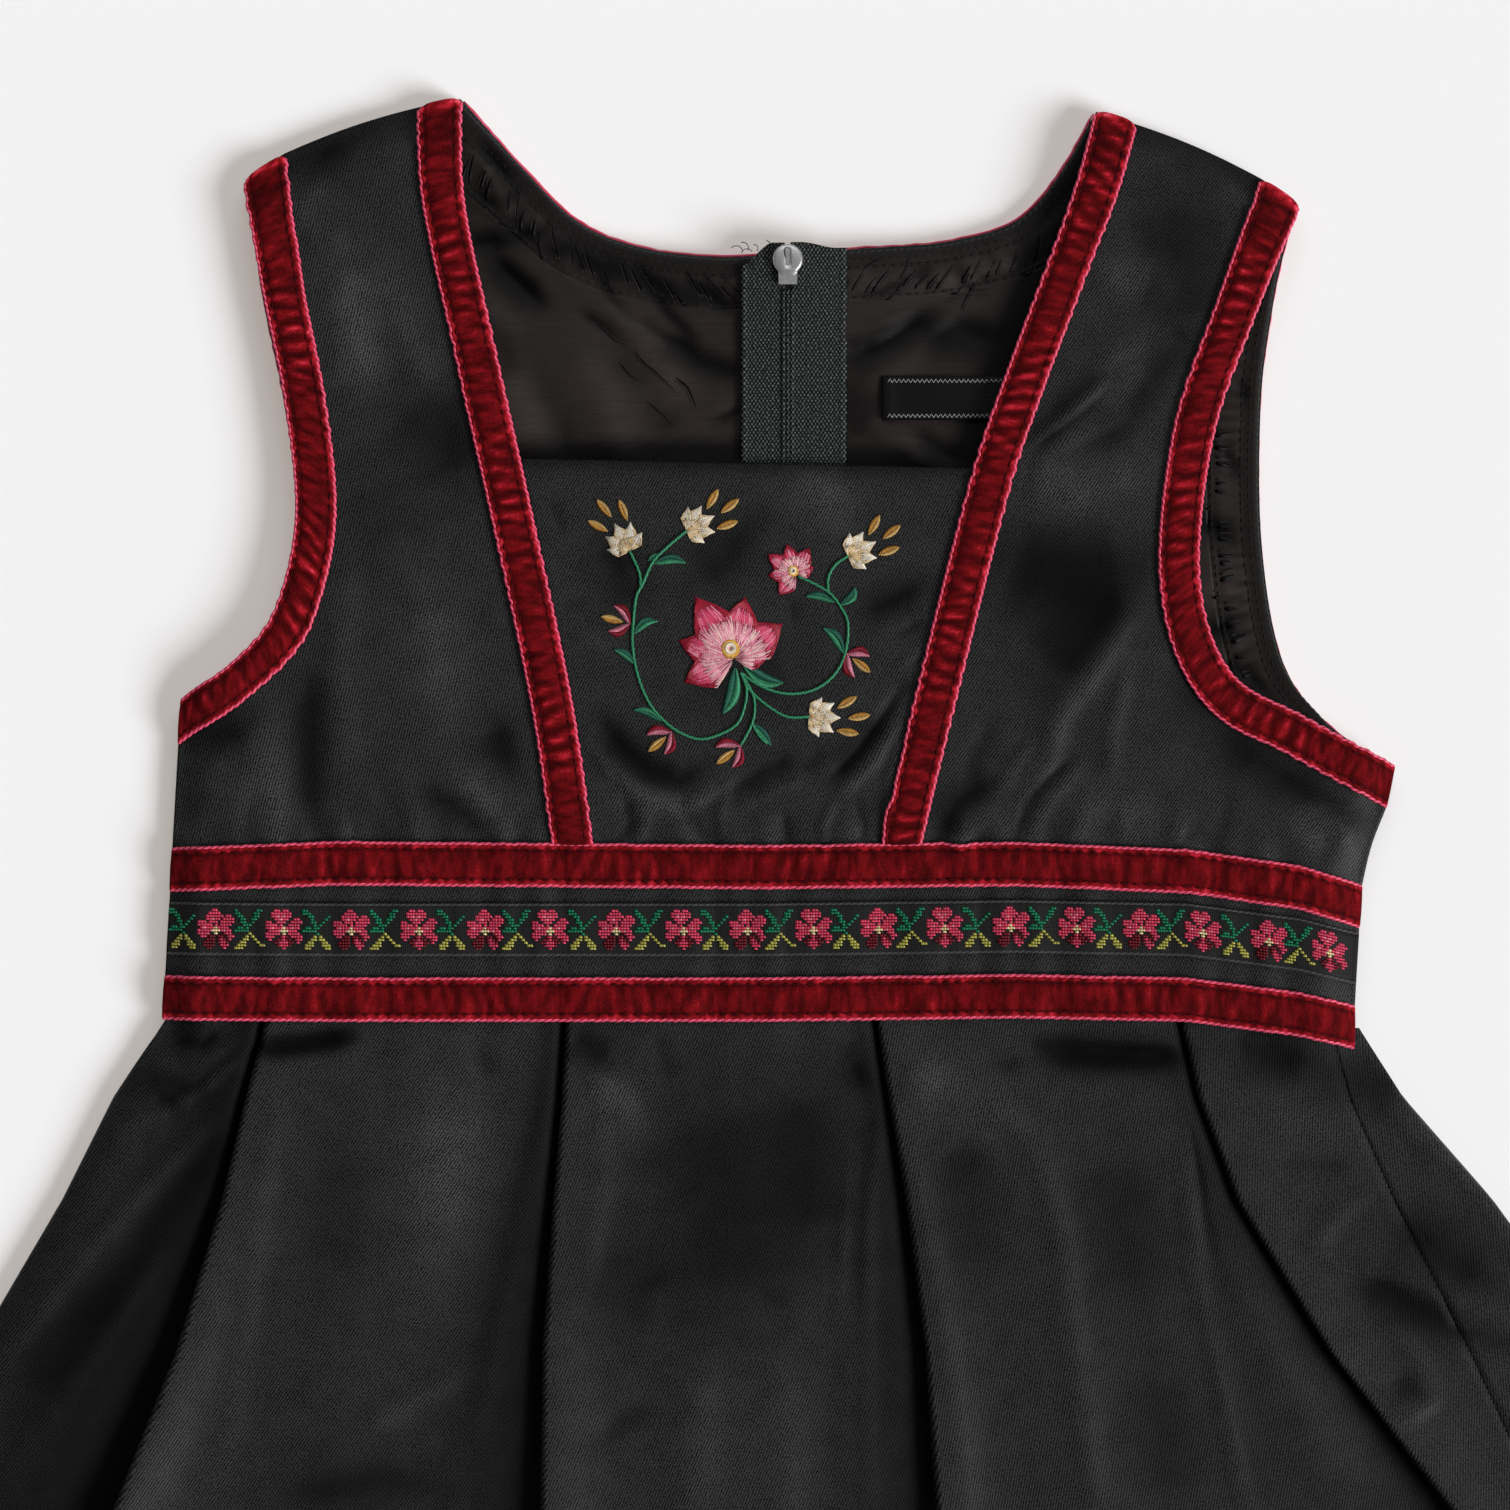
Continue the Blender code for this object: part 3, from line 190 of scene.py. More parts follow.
SKIRT_CREASES = (
    (1.5, -0.8, -138, -5, -132, -6, -128, -3), (1.2, 0.8, -143, -9, -132, -9, -124, -6),
    (2, -0.8, -146, -13, -137, -16, -130, -18), (1.2, 0.8, -152, -25, -141, -22, -131, -16, -122, -8),
    (1.3, -0.8, -143, -18, -138, -21), (2.6, 0.7, -178, -79, -160, -56, -146, -40, -128, -22),
    (4, -0.8, -164, -74, -150, -58, -140, -42, -128, -28),
    (1.8, 0.8, -178, -112, -167, -92, -153, -72, -142, -56), (1.8, -1.2, -118, -7, -108, -6, -98, -4),
    (2.4, 0.45, -114, -20, -118, -42, -121, -70, -129, -116), (8, 1.2, -78, -12, -76, -34, -80, -62),
    (2.6, 0.45, -50, -16, -57, -48, -64, -82, -68, -104), (2, -0.6, -67, -7, -64, -13),
    (3, -0.8, -114, -112, -92, -108, -78, -110), (1, 0.7, -72, -100, -72, -118),
    (2.6, 0.8, -96, -98, -84, -90, -72, -84), (2, -0.6, -44, -4, -38, -10),
    (3, 0.9, -42, -15, -34, -17), (2.2, 0.5, -37, -16, -38, -38, -41, -58),
    (3.5, 0.8, -34, -16, -30, -28), (1.6, -0.6, -24, -4, -22, -14), (2.4, -0.5, -30, -63, -22, -60),
    (2.2, -0.6, -2, -64, 5, -67), (3, -0.7, -38, -99, -32, -94, -28, -92),
    (2, 0.55, 28, -22, 25, -45, 24, -80, 25, -118), (1, 0.7, 20, -30, 19.5, -118),
    (0.8, -0.5, 22, -40, 22, -118), (2.4, -0.8, 20, -11, 24, -16),
    (2.2, 0.55, 33, -24, 39, -50, 45, -85, 49, -118), (4, 0.8, 34, -11, 42, -15),
    (3, 0.8, 54, -18, 64, -30, 70, -48, 73, -76, 79, -118), (2.2, -1.3, 68, -8, 82, -8, 98, -9),
    (1.2, 0.8, 78, -3, 88, -5, 97, -5), (2.2, -0.7, 52, -9, 60, -12), (5, -0.6, 44, -30, 50, -36),
    (0.9, -0.6, 101, -26, 105, -50, 110, -80, 117, -108),
    (1.2, 0.8, 99, -36, 102, -60, 108, -85, 114, -118), (1.2, 0.8, 108, -68, 115, -94, 122, -118),
    (1.6, 1.1, 141, -42, 133, -48, 130, -54, 137, -59, 148, -60, 162, -66, 180, -71),
    (2, -1.1, 139, -61, 150, -66, 162, -73, 180, -78), (2, -0.6, 122, -33, 137, -35),
    (2.6, -0.8, 150, -47, 158, -56, 170, -62), (2.2, 0.7, 146, -20, 157, -30, 172, -40),
    (3, -0.8, 113, -6, 121, -10, 127, -9), (1.3, 0.7, 116, -4, 115, -10),
    (2, 0.8, 147, -72, 155, -80, 157, -90, 150, -94), (2, -0.6, 149, -84, 152, -89),
    (6, 0.8, 112, -60, 120, -78, 138, -110), (5, 0.8, -14, -80, -18, -118), (5, 0.7, 4, -84, 6, -118))
LINING_CREASES = (
    (7, 1.2, -60, 156, -53, 146, -52, 132), (4, -0.8, -62, 163, -54, 152, -48, 140, -46, 132),
    (5, 1.1, -44, 158, -38, 146, -33, 132), (2.2, -1.1, -63, 178, -58, 174, -53, 169),
    (1.6, -1, -69, 183, -62, 183), (1.4, -0.9, -59, 184, -54, 186),
    (1.5, -0.8, -40, 178, -31, 165, -24, 160, -17, 158), (1.5, 0.8, -36, 174, -29, 163, -20, 156),
    (1.4, -0.8, -29, 177, -22, 166, -16, 160), (1.5, -0.9, -16, 173, -8, 167),
    (2.2, -0.8, -22, 160, -14, 155, -6, 152), (2.6, 0.9, -36, 166, -28, 158, -20, 150),
    (1.6, -0.7, -42, 166, -37, 163, -33, 160), (1.4, 0.6, -12, 143, -6, 145),
    (1.6, -0.7, -11, 141, -5, 144), (3, 0.9, -66, 168, -60, 162, -56, 152),
    (1.2, 0.6, -46, 180, -44, 172), (1.2, -0.6, -68, 194, -62, 192), (1.5, -0.8, -66, 206, -60, 198),
    (1.5, 0.8, -66, 202, -60, 190), (2, -1.1, 22, 155, 30, 159, 38, 165),
    (3.4, 0.6, 22, 150, 32, 155, 46, 168), (1.2, -0.6, 24, 170, 32, 173, 40, 177),
    (1.3, 0.6, 26, 164, 36, 168), (3, -0.9, 38, 160, 46, 163, 54, 160), (1.1, -0.5, 52, 176, 51, 170),
    (1.2, -0.5, 43, 168, 47, 171), (2.4, 0.9, 24, 140, 32, 136, 38, 132),
    (2, -0.8, 36, 138, 42, 134, 46, 132), (1, -0.6, 20, 160, 26, 158), (1.2, 0.6, 46, 176, 58, 178),
    (1.4, -0.9, 103, 118, 107, 115, 110, 114), (1.4, -0.9, 104, 91, 108, 92, 111, 93),
    (3, 0.35, 104, 108, 110, 104, 113, 98), (1.2, -0.8, 108, 84, 114, 82, 118, 78),
    (2.6, 0.35, 107, 96, 113, 88), (1.3, -0.7, 109, 135, 112, 128), (2.6, 0.3, 106, 128, 109, 120),
    (1.4, -0.8, 112, 150, 114, 146))
CREASE_LIGHT, CREASE_DARK = 0.22, 0.75      # painted highlight per millimetre of a crease's crest, painted shade per millimetre of its hollow
PAINTED_LIGHT_GAIN, PAINTED_SHADE_GAIN = 1.4, 2.0              # how much the tables of painted light and shade below count
# painted shade where the front turns over a shoulder seam
SHOULDER_SHADE = {"dark": 0.75, "reach": 4.5}
TOP_SHADE = {"dark": 0.6, "reach": 2.6}     # painted shade along the centre front's top edge
# ripples above the waist ribbon; shade is their painted light and shade per millimetre
RIPPLE = {"height": 0.2, "reach": 6.5, "shade": 1.7}
GATHERS = {"height": 0.2, "from": 6.0, "reach": 15.0}
# ---- painted light and shade on the satin, the same columns; its heights are powers of e
FRONT_SHADES = (
    (3, -0.5, 79, 154, 71, 144, 65, 135), (3.5, -0.5, 98, 158, 91, 149, 85, 140, 79, 135),
    (3, 0.3, 91, 154, 83, 142), (9, 0.32, -97, 178, -94, 160, -92, 148),
    (9, -0.5, -84, 144, -76, 137, -70, 128), (6, -0.45, -104, 204, -97, 200),
    (9, 0.25, -80, 96, -74, 74), (5, 0.4, -120, 60, -116, 46), (5, -0.7, -131, 66, -122, 70),
    (4, -0.6, -63, 68, -61, 60), (10, -0.18, -90, 126, -86, 112), (4, -0.5, -106, 78, -107, 48),
    (3, -0.5, -78, 53, -68, 47), (5, 0.35, -70, 56, -62, 48), (10, -0.55, 98, 192, 98, 178, 101, 164),
    (6, 0.3, 82, 176, 92, 174), (9, 0.3, 64, 126, 78, 122), (11, -0.85, 58, 107, 72, 103, 84, 104),
    (8, -0.75, 82, 101, 76, 90, 68, 82), (6, 0.3, 84, 90, 76, 76),
    (6, -0.6, 108, 66, 118, 60, 132, 52), (3.5, -0.7, 52, 55, 44, 50, 42, 43),
    (7, 0.3, 76, 52, 92, 46), (7, -0.5, 110, 86, 100, 72), (5, 0.35, 124, 46, 134, 42),
    (4, -0.8, -36, 67, -28, 59, -19, 56), (7, 0.4, 8, 128, 18, 120), (6, -0.45, -4, 116, -14, 104),
    (6, -0.4, -36, 112, -30, 98), (4, -0.6, 24, 96, 36, 101), (3, -0.7, 18, 58, 28, 70),
    (5, 0.3, -36, 54, -16, 49), (9, -0.35, -12, 76, 6, 84), (4, -0.35, -4, 54, 8, 61))
SKIRT_SHADES = (
    (4, -0.6, -138, -5, -128, -5), (8, -0.5, -172, -88, -152, -62), (5, -0.45, -146, -16, -134, -18),
    (2.2, -2.4, -118, -7, -108, -6, -97, -4), (2, -1.8, 66, -6, 82, -9, 98, -8),
    (16, 0.28, -72, -20, -74, -50), (8, -0.2, -98, -30, -100, -60), (10, -0.35, -108, -112, -84, -110),
    (5, -0.7, -44, -4, -36, -9), (8, 0.3, -40, -16, -30, -24), (16, -0.6, -14, -22, -6, -46, -6, -66),
    (12, -0.35, -40, -60, -24, -64), (9, -0.6, 10, -18, 12, -50), (14, 0.1, -10, -84, -6, -112),
    (6, -0.5, 18, -9, 25, -14), (9, 0.3, 36, -12, 60, -26), (4, -1.5, 68, -8, 98, -9),
    (10, -0.4, 84, -34, 88, -66), (8, -0.3, 46, -30, 50, -60), (8, -0.35, 92, -84, 98, -112),
    (7, -0.7, 112, -6, 128, -9), (9, 0.2, 120, -22, 138, -26), (8, -0.5, 150, -48, 170, -60),
    (5, -0.8, 142, -62, 162, -73), (6, -0.5, 130, -12, 150, -18), (12, 0.2, 130, -76, 150, -110),
    (7, -0.3, 150, -84, 152, -90))
LINING_SHADES = (
    (9, 0.35, -60, 152, -54, 136), (4.5, -0.35, -62, 162, -50, 146, -46, 132),
    (12, 0.3, -30, 160, -20, 142), (3.2, -1.3, -63, 178, -53, 169), (2.4, -1.2, -69, 183, -54, 185),
    (2.6, -1, -54, 184, -36, 177, -22, 172, -8, 169), (3, -0.7, -24, 158, -8, 152),
    (3.4, -0.4, -34, 156, -27, 149), (3.2, -0.4, -27, 145, -20, 139), (9, -0.4, -62, 198, -66, 188),
    (3.4, -1.1, 21, 154, 40, 166), (5, -0.8, 38, 161, 54, 160), (8, 0.25, 30, 172, 48, 172),
    (6, -0.7, 18, 147, 26, 140), (3, -0.9, 103, 117, 111, 114), (3, -1, 104, 91, 112, 93),
    (6, -0.5, 108, 82, 122, 72), (5, 0.3, 106, 104, 110, 98),
    (5.5, -1.5, 46, 120, 52, 134, 60, 157, 72, 190, 78, 212),
    (2, -1.5, -62, 133.5, -15, 134, 20, 132.7, 56, 131))


# ---------------------------------------------------------------- curves and heights
def looked_up(table, value, column):
    """One column of a table, where the first column has a value."""
    return np.interp(value, [row[0] for row in table], [row[column] for row in table])


def grey(values):
    """The same value in all three channels."""
    return np.repeat(values[..., None], 3, -1)


def raised(points, height):
    return points + [0, 0, 1] * height[..., None]


def ease(value):
    """Smooth step from 0 to 1."""
    value = np.clip(value, 0.0, 1.0)
    return value * value * (3 - 2 * value)


def smooth_path(points, per_span=24):
    """Catmull-Rom curve through a short table of points."""
    pts = np.array(points, float)
    pts = np.vstack([2 * pts[0] - pts[1], pts, 2 * pts[-1] - pts[-2]])
    t = np.linspace(0, 1, per_span, endpoint=False)[:, None]
    spans = [0.5 * (2 * b + (c - a) * t + (2 * a - 5 * b + 4 * c - d) * t ** 2
                    + (3 * b - 3 * c + d - a) * t ** 3)
             for a, b, c, d in zip(pts, pts[1:], pts[2:], pts[3:])]
    return np.vstack(spans + [pts[-2:-1]])


def distances(path):
    return np.concatenate([[0], np.cumsum(np.linalg.norm(np.diff(path, axis=0), axis=1))])


def along(path, lengths):
    """Points at the given distances along a path of any dimension."""
    steps = distances(path)
    return np.stack([np.interp(lengths, steps, path[:, k]) for k in range(path.shape[1])], -1)


def resampled(path, count):
    return along(path, np.linspace(0, distances(path)[-1], count))


def stations(total, count, tight_start=True):
    """Distances along an edge, closer together where the cloth rolls over a seam."""
    steps = np.array(ROLL_STEPS)
    start = steps if tight_start else steps[:0]
    low = ROLL if tight_start else 0.0
    middle = np.linspace(low, total - ROLL, count - len(start) - len(steps))
    return np.concatenate([start, middle, total - steps[::-1]])


def offset_rows(path, lengths, distance):
    """Points beside a path, to its left when the distance is positive."""
    tangent = np.gradient(path, axis=0)
    tangent /= np.linalg.norm(tangent, axis=1)[:, None]
    steps = distances(path)
    normal = np.column_stack([-np.interp(lengths, steps, tangent[:, 1]),
                              np.interp(lengths, steps, tangent[:, 0])])
    return along(path, lengths) + distance * normal


def waist_top(x):
    return looked_up(WAIST, x, 1)


def waist_seam(x):
    return looked_up(WAIST, x, 2)


def side_x(y, column):
    return looked_up(SIDE_WAIST, y, column)


def lift(x, y):
    """How far the back is raised round the outside of the zip's slider."""
    across = (x - ZIP_X) / LIFT["spread_x"]
    up = (y - PIVOT_Y) / LIFT["spread_y"]
    return LIFT["height"] * np.exp(-(across ** 2 + up ** 2) / 2)


def ridges(table, x, y):
    """Height of a table of soft ridges at points; a negative height is a valley."""
    x, y = np.broadcast_arrays(np.asarray(x, float), np.asarray(y, float))
    total = np.zeros(x.shape)
    for half, height, *places in table:
        crest = np.array(places, float).reshape(-1, 2)
        steps = distances(crest)
        away, place = np.full(x.shape, np.inf), np.zeros(x.shape)
        for (x0, y0), (x1, y1), start in zip(crest, crest[1:], steps):
            length = math.hypot(x1 - x0, y1 - y0)
            near = np.clip(((x - x0) * (x1 - x0) + (y - y0) * (y1 - y0)) / length ** 2, 0, 1)
            gap = np.hypot(x - x0 - near * (x1 - x0), y - y0 - near * (y1 - y0))
            place = np.where(gap < away, start + near * length, place)
            away = np.minimum(away, gap)
        share = place / steps[-1]
        inside = ease(np.minimum(share, 1 - share) * 3 + 0.4)
        total += height * inside * np.exp(-(away / half) ** 2)
    return total


def shaded(shades, creases, x, y, extra=0.0):
    """Tone of satin with painted light and shade, 0.5 where it is plain: the shade tables paint it
    lighter and darker, and creases add painted highlight on crests and painted shade in hollows.
    """
    place, crease = ridges(shades, x, y), ridges(creases, x, y)
    light = PAINTED_LIGHT_GAIN * place + (PAINTED_SHADE_GAIN - PAINTED_LIGHT_GAIN) * np.minimum(place, 0)
    light = light + CREASE_LIGHT * np.maximum(crease, 0) + CREASE_DARK * np.minimum(crease, 0)
    return grey(np.clip(0.5 * np.exp(light + extra), 0, 1))


def waist_ripple(x, y):
    """Small unpressed ripples of the bodice just above the waist ribbon."""
    above = np.clip(y - waist_top(x), 0, 40)
    wave = np.sin(x / 1.7 + 1.6 * np.sin(x / 9.0)) + 0.7 * np.sin(x / 3.1 + 1.0 + 0.12 * above)
    return RIPPLE["height"] * wave * np.exp(-(above / RIPPLE["reach"]) ** 2)


def rise(x, y):
    """0 on the skirt, 1 at the waist, where the skirt lies over the back's ribbon."""
    return np.clip((y - waist_seam(x) - RISE_FROM) / (RISE_TO - RISE_FROM), 0.0, 1.0)


def shoulder_line(x):
    line = []
    for tips in SHOULDER.values():
        (x0, y0), (x1, y1) = tips["arm"], tips["neck"]
        share = (x - x0) / (x1 - x0)
        bow = SHOULDER_BULGE * np.sin(math.pi * np.clip(share, 0, 1))
        line.append((y0 + (y1 - y0) * share, bow))
    left = np.asarray(x) < ZIP_X
    return np.where(left, line[0][0], line[1][0]), np.where(left, line[0][1], line[1][1])


def bowed(net):
    """A net of (x, y) with its upper rows bowed up under the shoulder seam."""
    out = net.copy()
    line, bow = shoulder_line(net[..., 0])
    out[..., 1] += bow * np.clip(1 - (line - net[..., 1]) / BULGE_REACH, 0, 1)
    return out


def side_share(x, y):
    """0 at a side seam, 1 where the front has risen to its full height."""
    return ease(np.minimum(x - side_x(y, 1), side_x(y, 2) - x) / ROLL)


def front_z(x, y):
    """Middle surface of the bodice and the waistband at the front."""
    waist = ease(1 - (y - waist_top(x)) / WAIST_EASE)
    z = FRONT_Z + WAIST_RAISE * waist + ridges(FOLDS, x, y) + lift(x, y)
    z = z + ridges(FRONT_CREASES, x, y) + ridges(WAIST_CREASES, x, y) + waist_ripple(x, y)
    line, bow = shoulder_line(x)
    by_seam = np.where(y > SHOULDER_FROM_Y, ease(np.abs(line + bow - y) / ROLL), 1.0)
    return EDGE_Z + (z - EDGE_Z) * side_share(x, y) * by_seam


def back_layer(level):
    """Surface of one layer of the back bodice."""
    return lambda x, y: level + lift(x, y)


# ---------------------------------------------------------------- nets of the bodice
def turned_ends(outer, inner, corner, gaps, end):
    """Turn the rows near one end of a strip until the last lies along the seam there."""
    seam = np.array(corner) - outer[end]
    share = np.clip(1 - gaps / TURN_LENGTH, 0, 1)[:, None]
    return inner * (1 - share) + (outer + seam) * share


def arm_edge(plain, cut, width, tip, rows):
    """Side seam and armhole: the armhole's edge, and the inner path below its ribbon."""
    path = smooth_path(cut)
    lengths = stations(distances(path)[-1], rows)
    outer = along(path, lengths)
    inner = offset_rows(path, lengths, width)
    inner = turned_ends(outer, inner, tip, lengths[-1] - lengths, -1)
    inner = turned_ends(outer, inner, plain[-1], lengths, 0)
    return outer, np.vstack([resampled(smooth_path(plain), 12)[:-1], inner])


def front_neck_edge(cut, width, tip, arm_inner):
    """The front's edge along the neck, its rows level with those of the armhole."""
    path = smooth_path(cut)
    levels = arm_inner[:, 1]
    share = (levels - levels[0]) / (levels[-1] - levels[0])
    levels = levels + (path[-1, 1] - levels[-1]) * share ** 3
    levels = levels + (path[0, 1] - levels[0]) * (1 - share) ** 3
    lengths = np.interp(levels, path[:, 1], distances(path))
    outer = along(path, lengths)
    inner = offset_rows(path, lengths, width)
    return outer, turned_ends(outer, inner, tip, lengths[-1] - lengths, -1)


def back_neck_edge(cut, width, tip, arm_inner, low):
    """Centre back and neckline: the neckline's edge, and the inner path below its ribbon."""
    path = smooth_path(cut)
    corner = np.array([cut[0][0], cut[0][1] - abs(width)])
    levels = arm_inner[:, 1]
    split = int(np.argmax(levels >= NECK_TURN_Y))
    share = (levels[:split + 1] - levels[0]) / (levels[split] - levels[0])
    centre = np.column_stack([np.full(split + 1, corner[0]), low + (corner[1] - low) * share])
    lengths = stations(distances(path)[-1], len(levels) - split, tight_start=False)
    outer = along(path, lengths)
    inner = offset_rows(path, lengths, width)
    inner = turned_ends(outer, inner, tip, lengths[-1] - lengths, -1)
    inner = turned_ends(outer, inner, corner, lengths, 0)
    return outer, np.vstack([centre[:-1], inner])


def bodice_low(x):
    return waist_top(x) - RIBBON_W / 2 + GAP


def lining_low(x):
    return waist_seam(x) + RIBBON_W / 2 + 2 * GAP


def ruled(left, right, fractions):
    f = np.asarray(fractions)[None, :, None]
    return left[:, None] * (1 - f) + right[:, None] * f


def bodice_nets(arm, neck, low_edge, columns, strip_columns):
    """Nets of one quarter of the bodice: its body and the strips under the two ribbons."""
    arm_outer, arm_inner = arm
    neck_outer, neck_inner = neck
    widths = np.linalg.norm(neck_inner - arm_inner, axis=1)[:, None]
    rest = ROLL / widths + (1 - ROLL / widths) * np.linspace(0, 1, columns)[None, :]
    shares = np.hstack([np.array(ROLL_STEPS)[None, :] / widths, rest])[..., None]
    body = arm_inner[:, None] * (1 - shares) + neck_inner[:, None] * shares
    body[0, :, 1] = low_edge(body[0, :, 0])
    across = np.linspace(0, 1, strip_columns)
    arm_strip = ruled(arm_outer, arm_inner[-len(arm_outer):], across)
    neck_strip = ruled(neck_inner[-len(neck_outer):], neck_outer, across)
    if len(neck_outer) == len(neck_inner):
        neck_strip[0, :, 1] = low_edge(neck_strip[0, :, 0])
    return {"body": bowed(body), "arm": bowed(arm_strip), "neck": bowed(neck_strip)}


def quarter(side, rows, columns, strip_columns, back=False):
    """Nets of one side of the front or of the back, from the waist to the shoulder."""
    tips, turn = SHOULDER[side], SIGN[side] * EDGE_RIBBON_W
    low_ended = [((cut[0][0], bodice_low(cut[0][0])),) + cut[1:] for cut in (SIDE[side], NECK[side])]
    arm = arm_edge(low_ended[0], (BACK_ARMHOLE if back else ARMHOLE)[side], -turn, tips["arm_in"], rows)
    if back:
        centre = ZIP_X - SIGN[side] * ZIP_SLOT
        neck_cut = ((centre, BACK_NECK[side][0][1]),) + BACK_NECK[side][1:]
        neck = back_neck_edge(neck_cut, turn, tips["neck_in"], arm[1], bodice_low(centre))
    else:
        neck = front_neck_edge(low_ended[1], turn, tips["neck_in"], arm[1])
    return bodice_nets(arm, neck, bodice_low, columns, strip_columns)


def lining_quarter(side, rows, columns, strip_columns):
    """Nets of half of the lining; its strips reach past both rows of stitches."""
    sign, tips, armhole = SIGN[side], SHOULDER[side], BACK_ARMHOLE[side]
    width = sign * LINING_STRIP
    cut = [(armhole[0][0] + sign * LINING_INSET, armhole[0][1] + LINING_EDGE)]
    cut += [(x + sign * LINING_EDGE, y) for x, y in armhole[1:-1]]
    cut.append((tips["arm"][0] + sign * LINING_TIP, tips["arm"][1] - LINING_INSET))
    plain = [(x + sign * LINING_INSET, y) for x, y in SIDE[side]]
    plain[0] = (plain[0][0], lining_low(plain[0][0]))
    plain[-1] = (cut[0][0] - sign, cut[0][1] - LINING_STRIP)
    arm_in = (tips["arm_in"][0] + sign * 2, tips["arm_in"][1] - LINING_INSET)
    arm = arm_edge(plain, cut, -width, arm_in, rows)
    centre = ZIP_X - sign * ZIP_SLOT
    neck_cut = [(x, y - LINING_EDGE) for x, y in BACK_NECK[side]]
    neck_cut[0] = (centre, neck_cut[0][1])
    neck_cut[-1] = (tips["neck"][0] + sign * LINING_EDGE, tips["neck"][1] - LINING_TIP)
    neck_in = (tips["neck_in"][0] - sign * 2, tips["neck_in"][1] - LINING_INSET)
    neck = back_neck_edge(neck_cut, width, neck_in, arm[1], lining_low(centre))
    return bodice_nets(arm, neck, lining_low, columns, strip_columns)


# ---------------------------------------------------------------- meshes
def leaning(x, y, tilt):
    """Grain coordinates of cloth whose threads lean to the left by an angle in degrees."""
    c, s = np.cos(np.radians(tilt)), np.sin(np.radians(tilt))
    return np.stack([c * x + s * y, c * y - s * x, 0 * x], -1)


def net(xy, surface, tilt=0.0, shades=(), creases=()):
    """A flat net of (x, y) set on a surface, with its grain and its tone."""
    x, y = xy[..., 0], xy[..., 1]
    return np.dstack([xy, surface(x, y)]), leaning(x, y, tilt), shaded(shades, creases, x, y)


def front_net(xy, tilt):
    """A net of the front's satin, which ripples by the waist, with painted light and shade on the
    ripples and painted shade where it turns over the shoulder.
    """
    x, y = xy[..., 0], xy[..., 1]
    turn = np.clip(shoulder_line(x) - y, 0, 60)
    extra = RIPPLE["shade"] * waist_ripple(x, y)
    extra = extra - SHOULDER_SHADE["dark"] * np.exp(-(turn / SHOULDER_SHADE["reach"]) ** 2)
    return (np.dstack([xy, front_z(x, y)]), leaning(x, y, tilt),
            shaded(FRONT_SHADES, FRONT_CREASES, x, y, extra))


def grid_faces(rows, columns, start=0):
    ids = start + np.arange(rows * columns).reshape(rows, columns)
    return np.stack([ids[:-1, :-1], ids[:-1, 1:], ids[1:, 1:], ids[1:, :-1]], -1).reshape(-1, 4)


def welded(nets):
    """Points, faces, grain and tone of several nets, joined where their points coincide."""
    start, faces = 0, []
    for xyz, _, _ in nets:
        faces.append(grid_faces(*xyz.shape[:2], start))
        start += xyz.shape[0] * xyz.shape[1]
    flat = [np.vstack([n[k].reshape(-1, 3) for n in nets]) for k in range(3)]
    keys = np.round(flat[0] / 0.002).astype(np.int64)
    _, first, index = np.unique(keys, axis=0, return_index=True, return_inverse=True)
    return flat[0][first], index.reshape(-1)[np.vstack(faces)], flat[1][first], flat[2][first]


def unit(vectors):
    return vectors / np.maximum(np.linalg.norm(vectors, axis=-1, keepdims=True), 1e-12)


def point_normals(points, faces):
    corners = points[faces]
    area = np.cross(corners[:, 2] - corners[:, 0], corners[:, 3] - corners[:, 1])
    normals = np.zeros_like(points)
    for k in range(4):
        np.add.at(normals, faces[:, k], area)
    return unit(normals)


def rim_edges(faces, count):
    """Directed edges that only one face has."""
    edges = np.vstack([faces[:, [k, (k + 1) % 4]] for k in range(4)])
    edges = edges[edges[:, 0] != edges[:, 1]]
    code, back = edges[:, 0] * count + edges[:, 1], edges[:, 1] * count + edges[:, 0]
    return edges[~np.isin(code, back)]


def part(points, faces, grain=None, tone=None, slot=0):
    """Points, faces and what the materials read; grain and tone have defaults for plain solids."""
    grain = points if grain is None else grain
    tone = np.full(points.shape, 0.5) if tone is None else tone
    points, grain, tone = (values.reshape(-1, 3) for values in (points, grain, tone))
    return {"points": points, "faces": faces, "grain": grain, "tone": tone, "slot": slot}


RIM_BULGE = 0.2     # how far the rim of a cloth is rounded out, as a share of its thickness


def shell(nets, thickness, slot=0):
    """A closed wall with a rounded rim round the middle surface of nets."""
    points, faces, grain, tone = welded(nets)
    normals = point_normals(points, faces)
    if normals[:, 2].sum() < 0:
        faces, normals = faces[:, ::-1], -normals
    count = len(points)
    edges = rim_edges(faces, count)
    outward = np.zeros_like(points)
    push = np.cross(points[edges[:, 1]] - points[edges[:, 0]], normals[edges[:, 0]])
    for k in range(2):
        np.add.at(outward, edges[:, k], push)
    rim, place = np.unique(edges, return_inverse=True)
    place = place.reshape(edges.shape) + 2 * count
    middle = points[rim] + unit(outward[rim]) * thickness * RIM_BULGE
    a, b, ma, mb = edges[:, 0], edges[:, 1], place[:, 0], place[:, 1]
    sides = [np.stack([a, ma, mb, b], -1), np.stack([ma, a + count, b + count, mb], -1)]
    return part(np.vstack([points + normals * thickness / 2, points - normals * thickness / 2, middle]),
                np.vstack([faces, faces[:, ::-1] + count] + sides),
                np.vstack([grain, grain, grain[rim]]), np.vstack([tone, tone, tone[rim]]), slot)


def frames(paths):
    """Side and up directions along paths of shape (..., points, 3)."""
    run = unit(np.gradient(paths, axis=-2))
    side = unit(np.cross(run, np.array([0.0, 0.0, 1.0])))
    return side, np.cross(side, run)


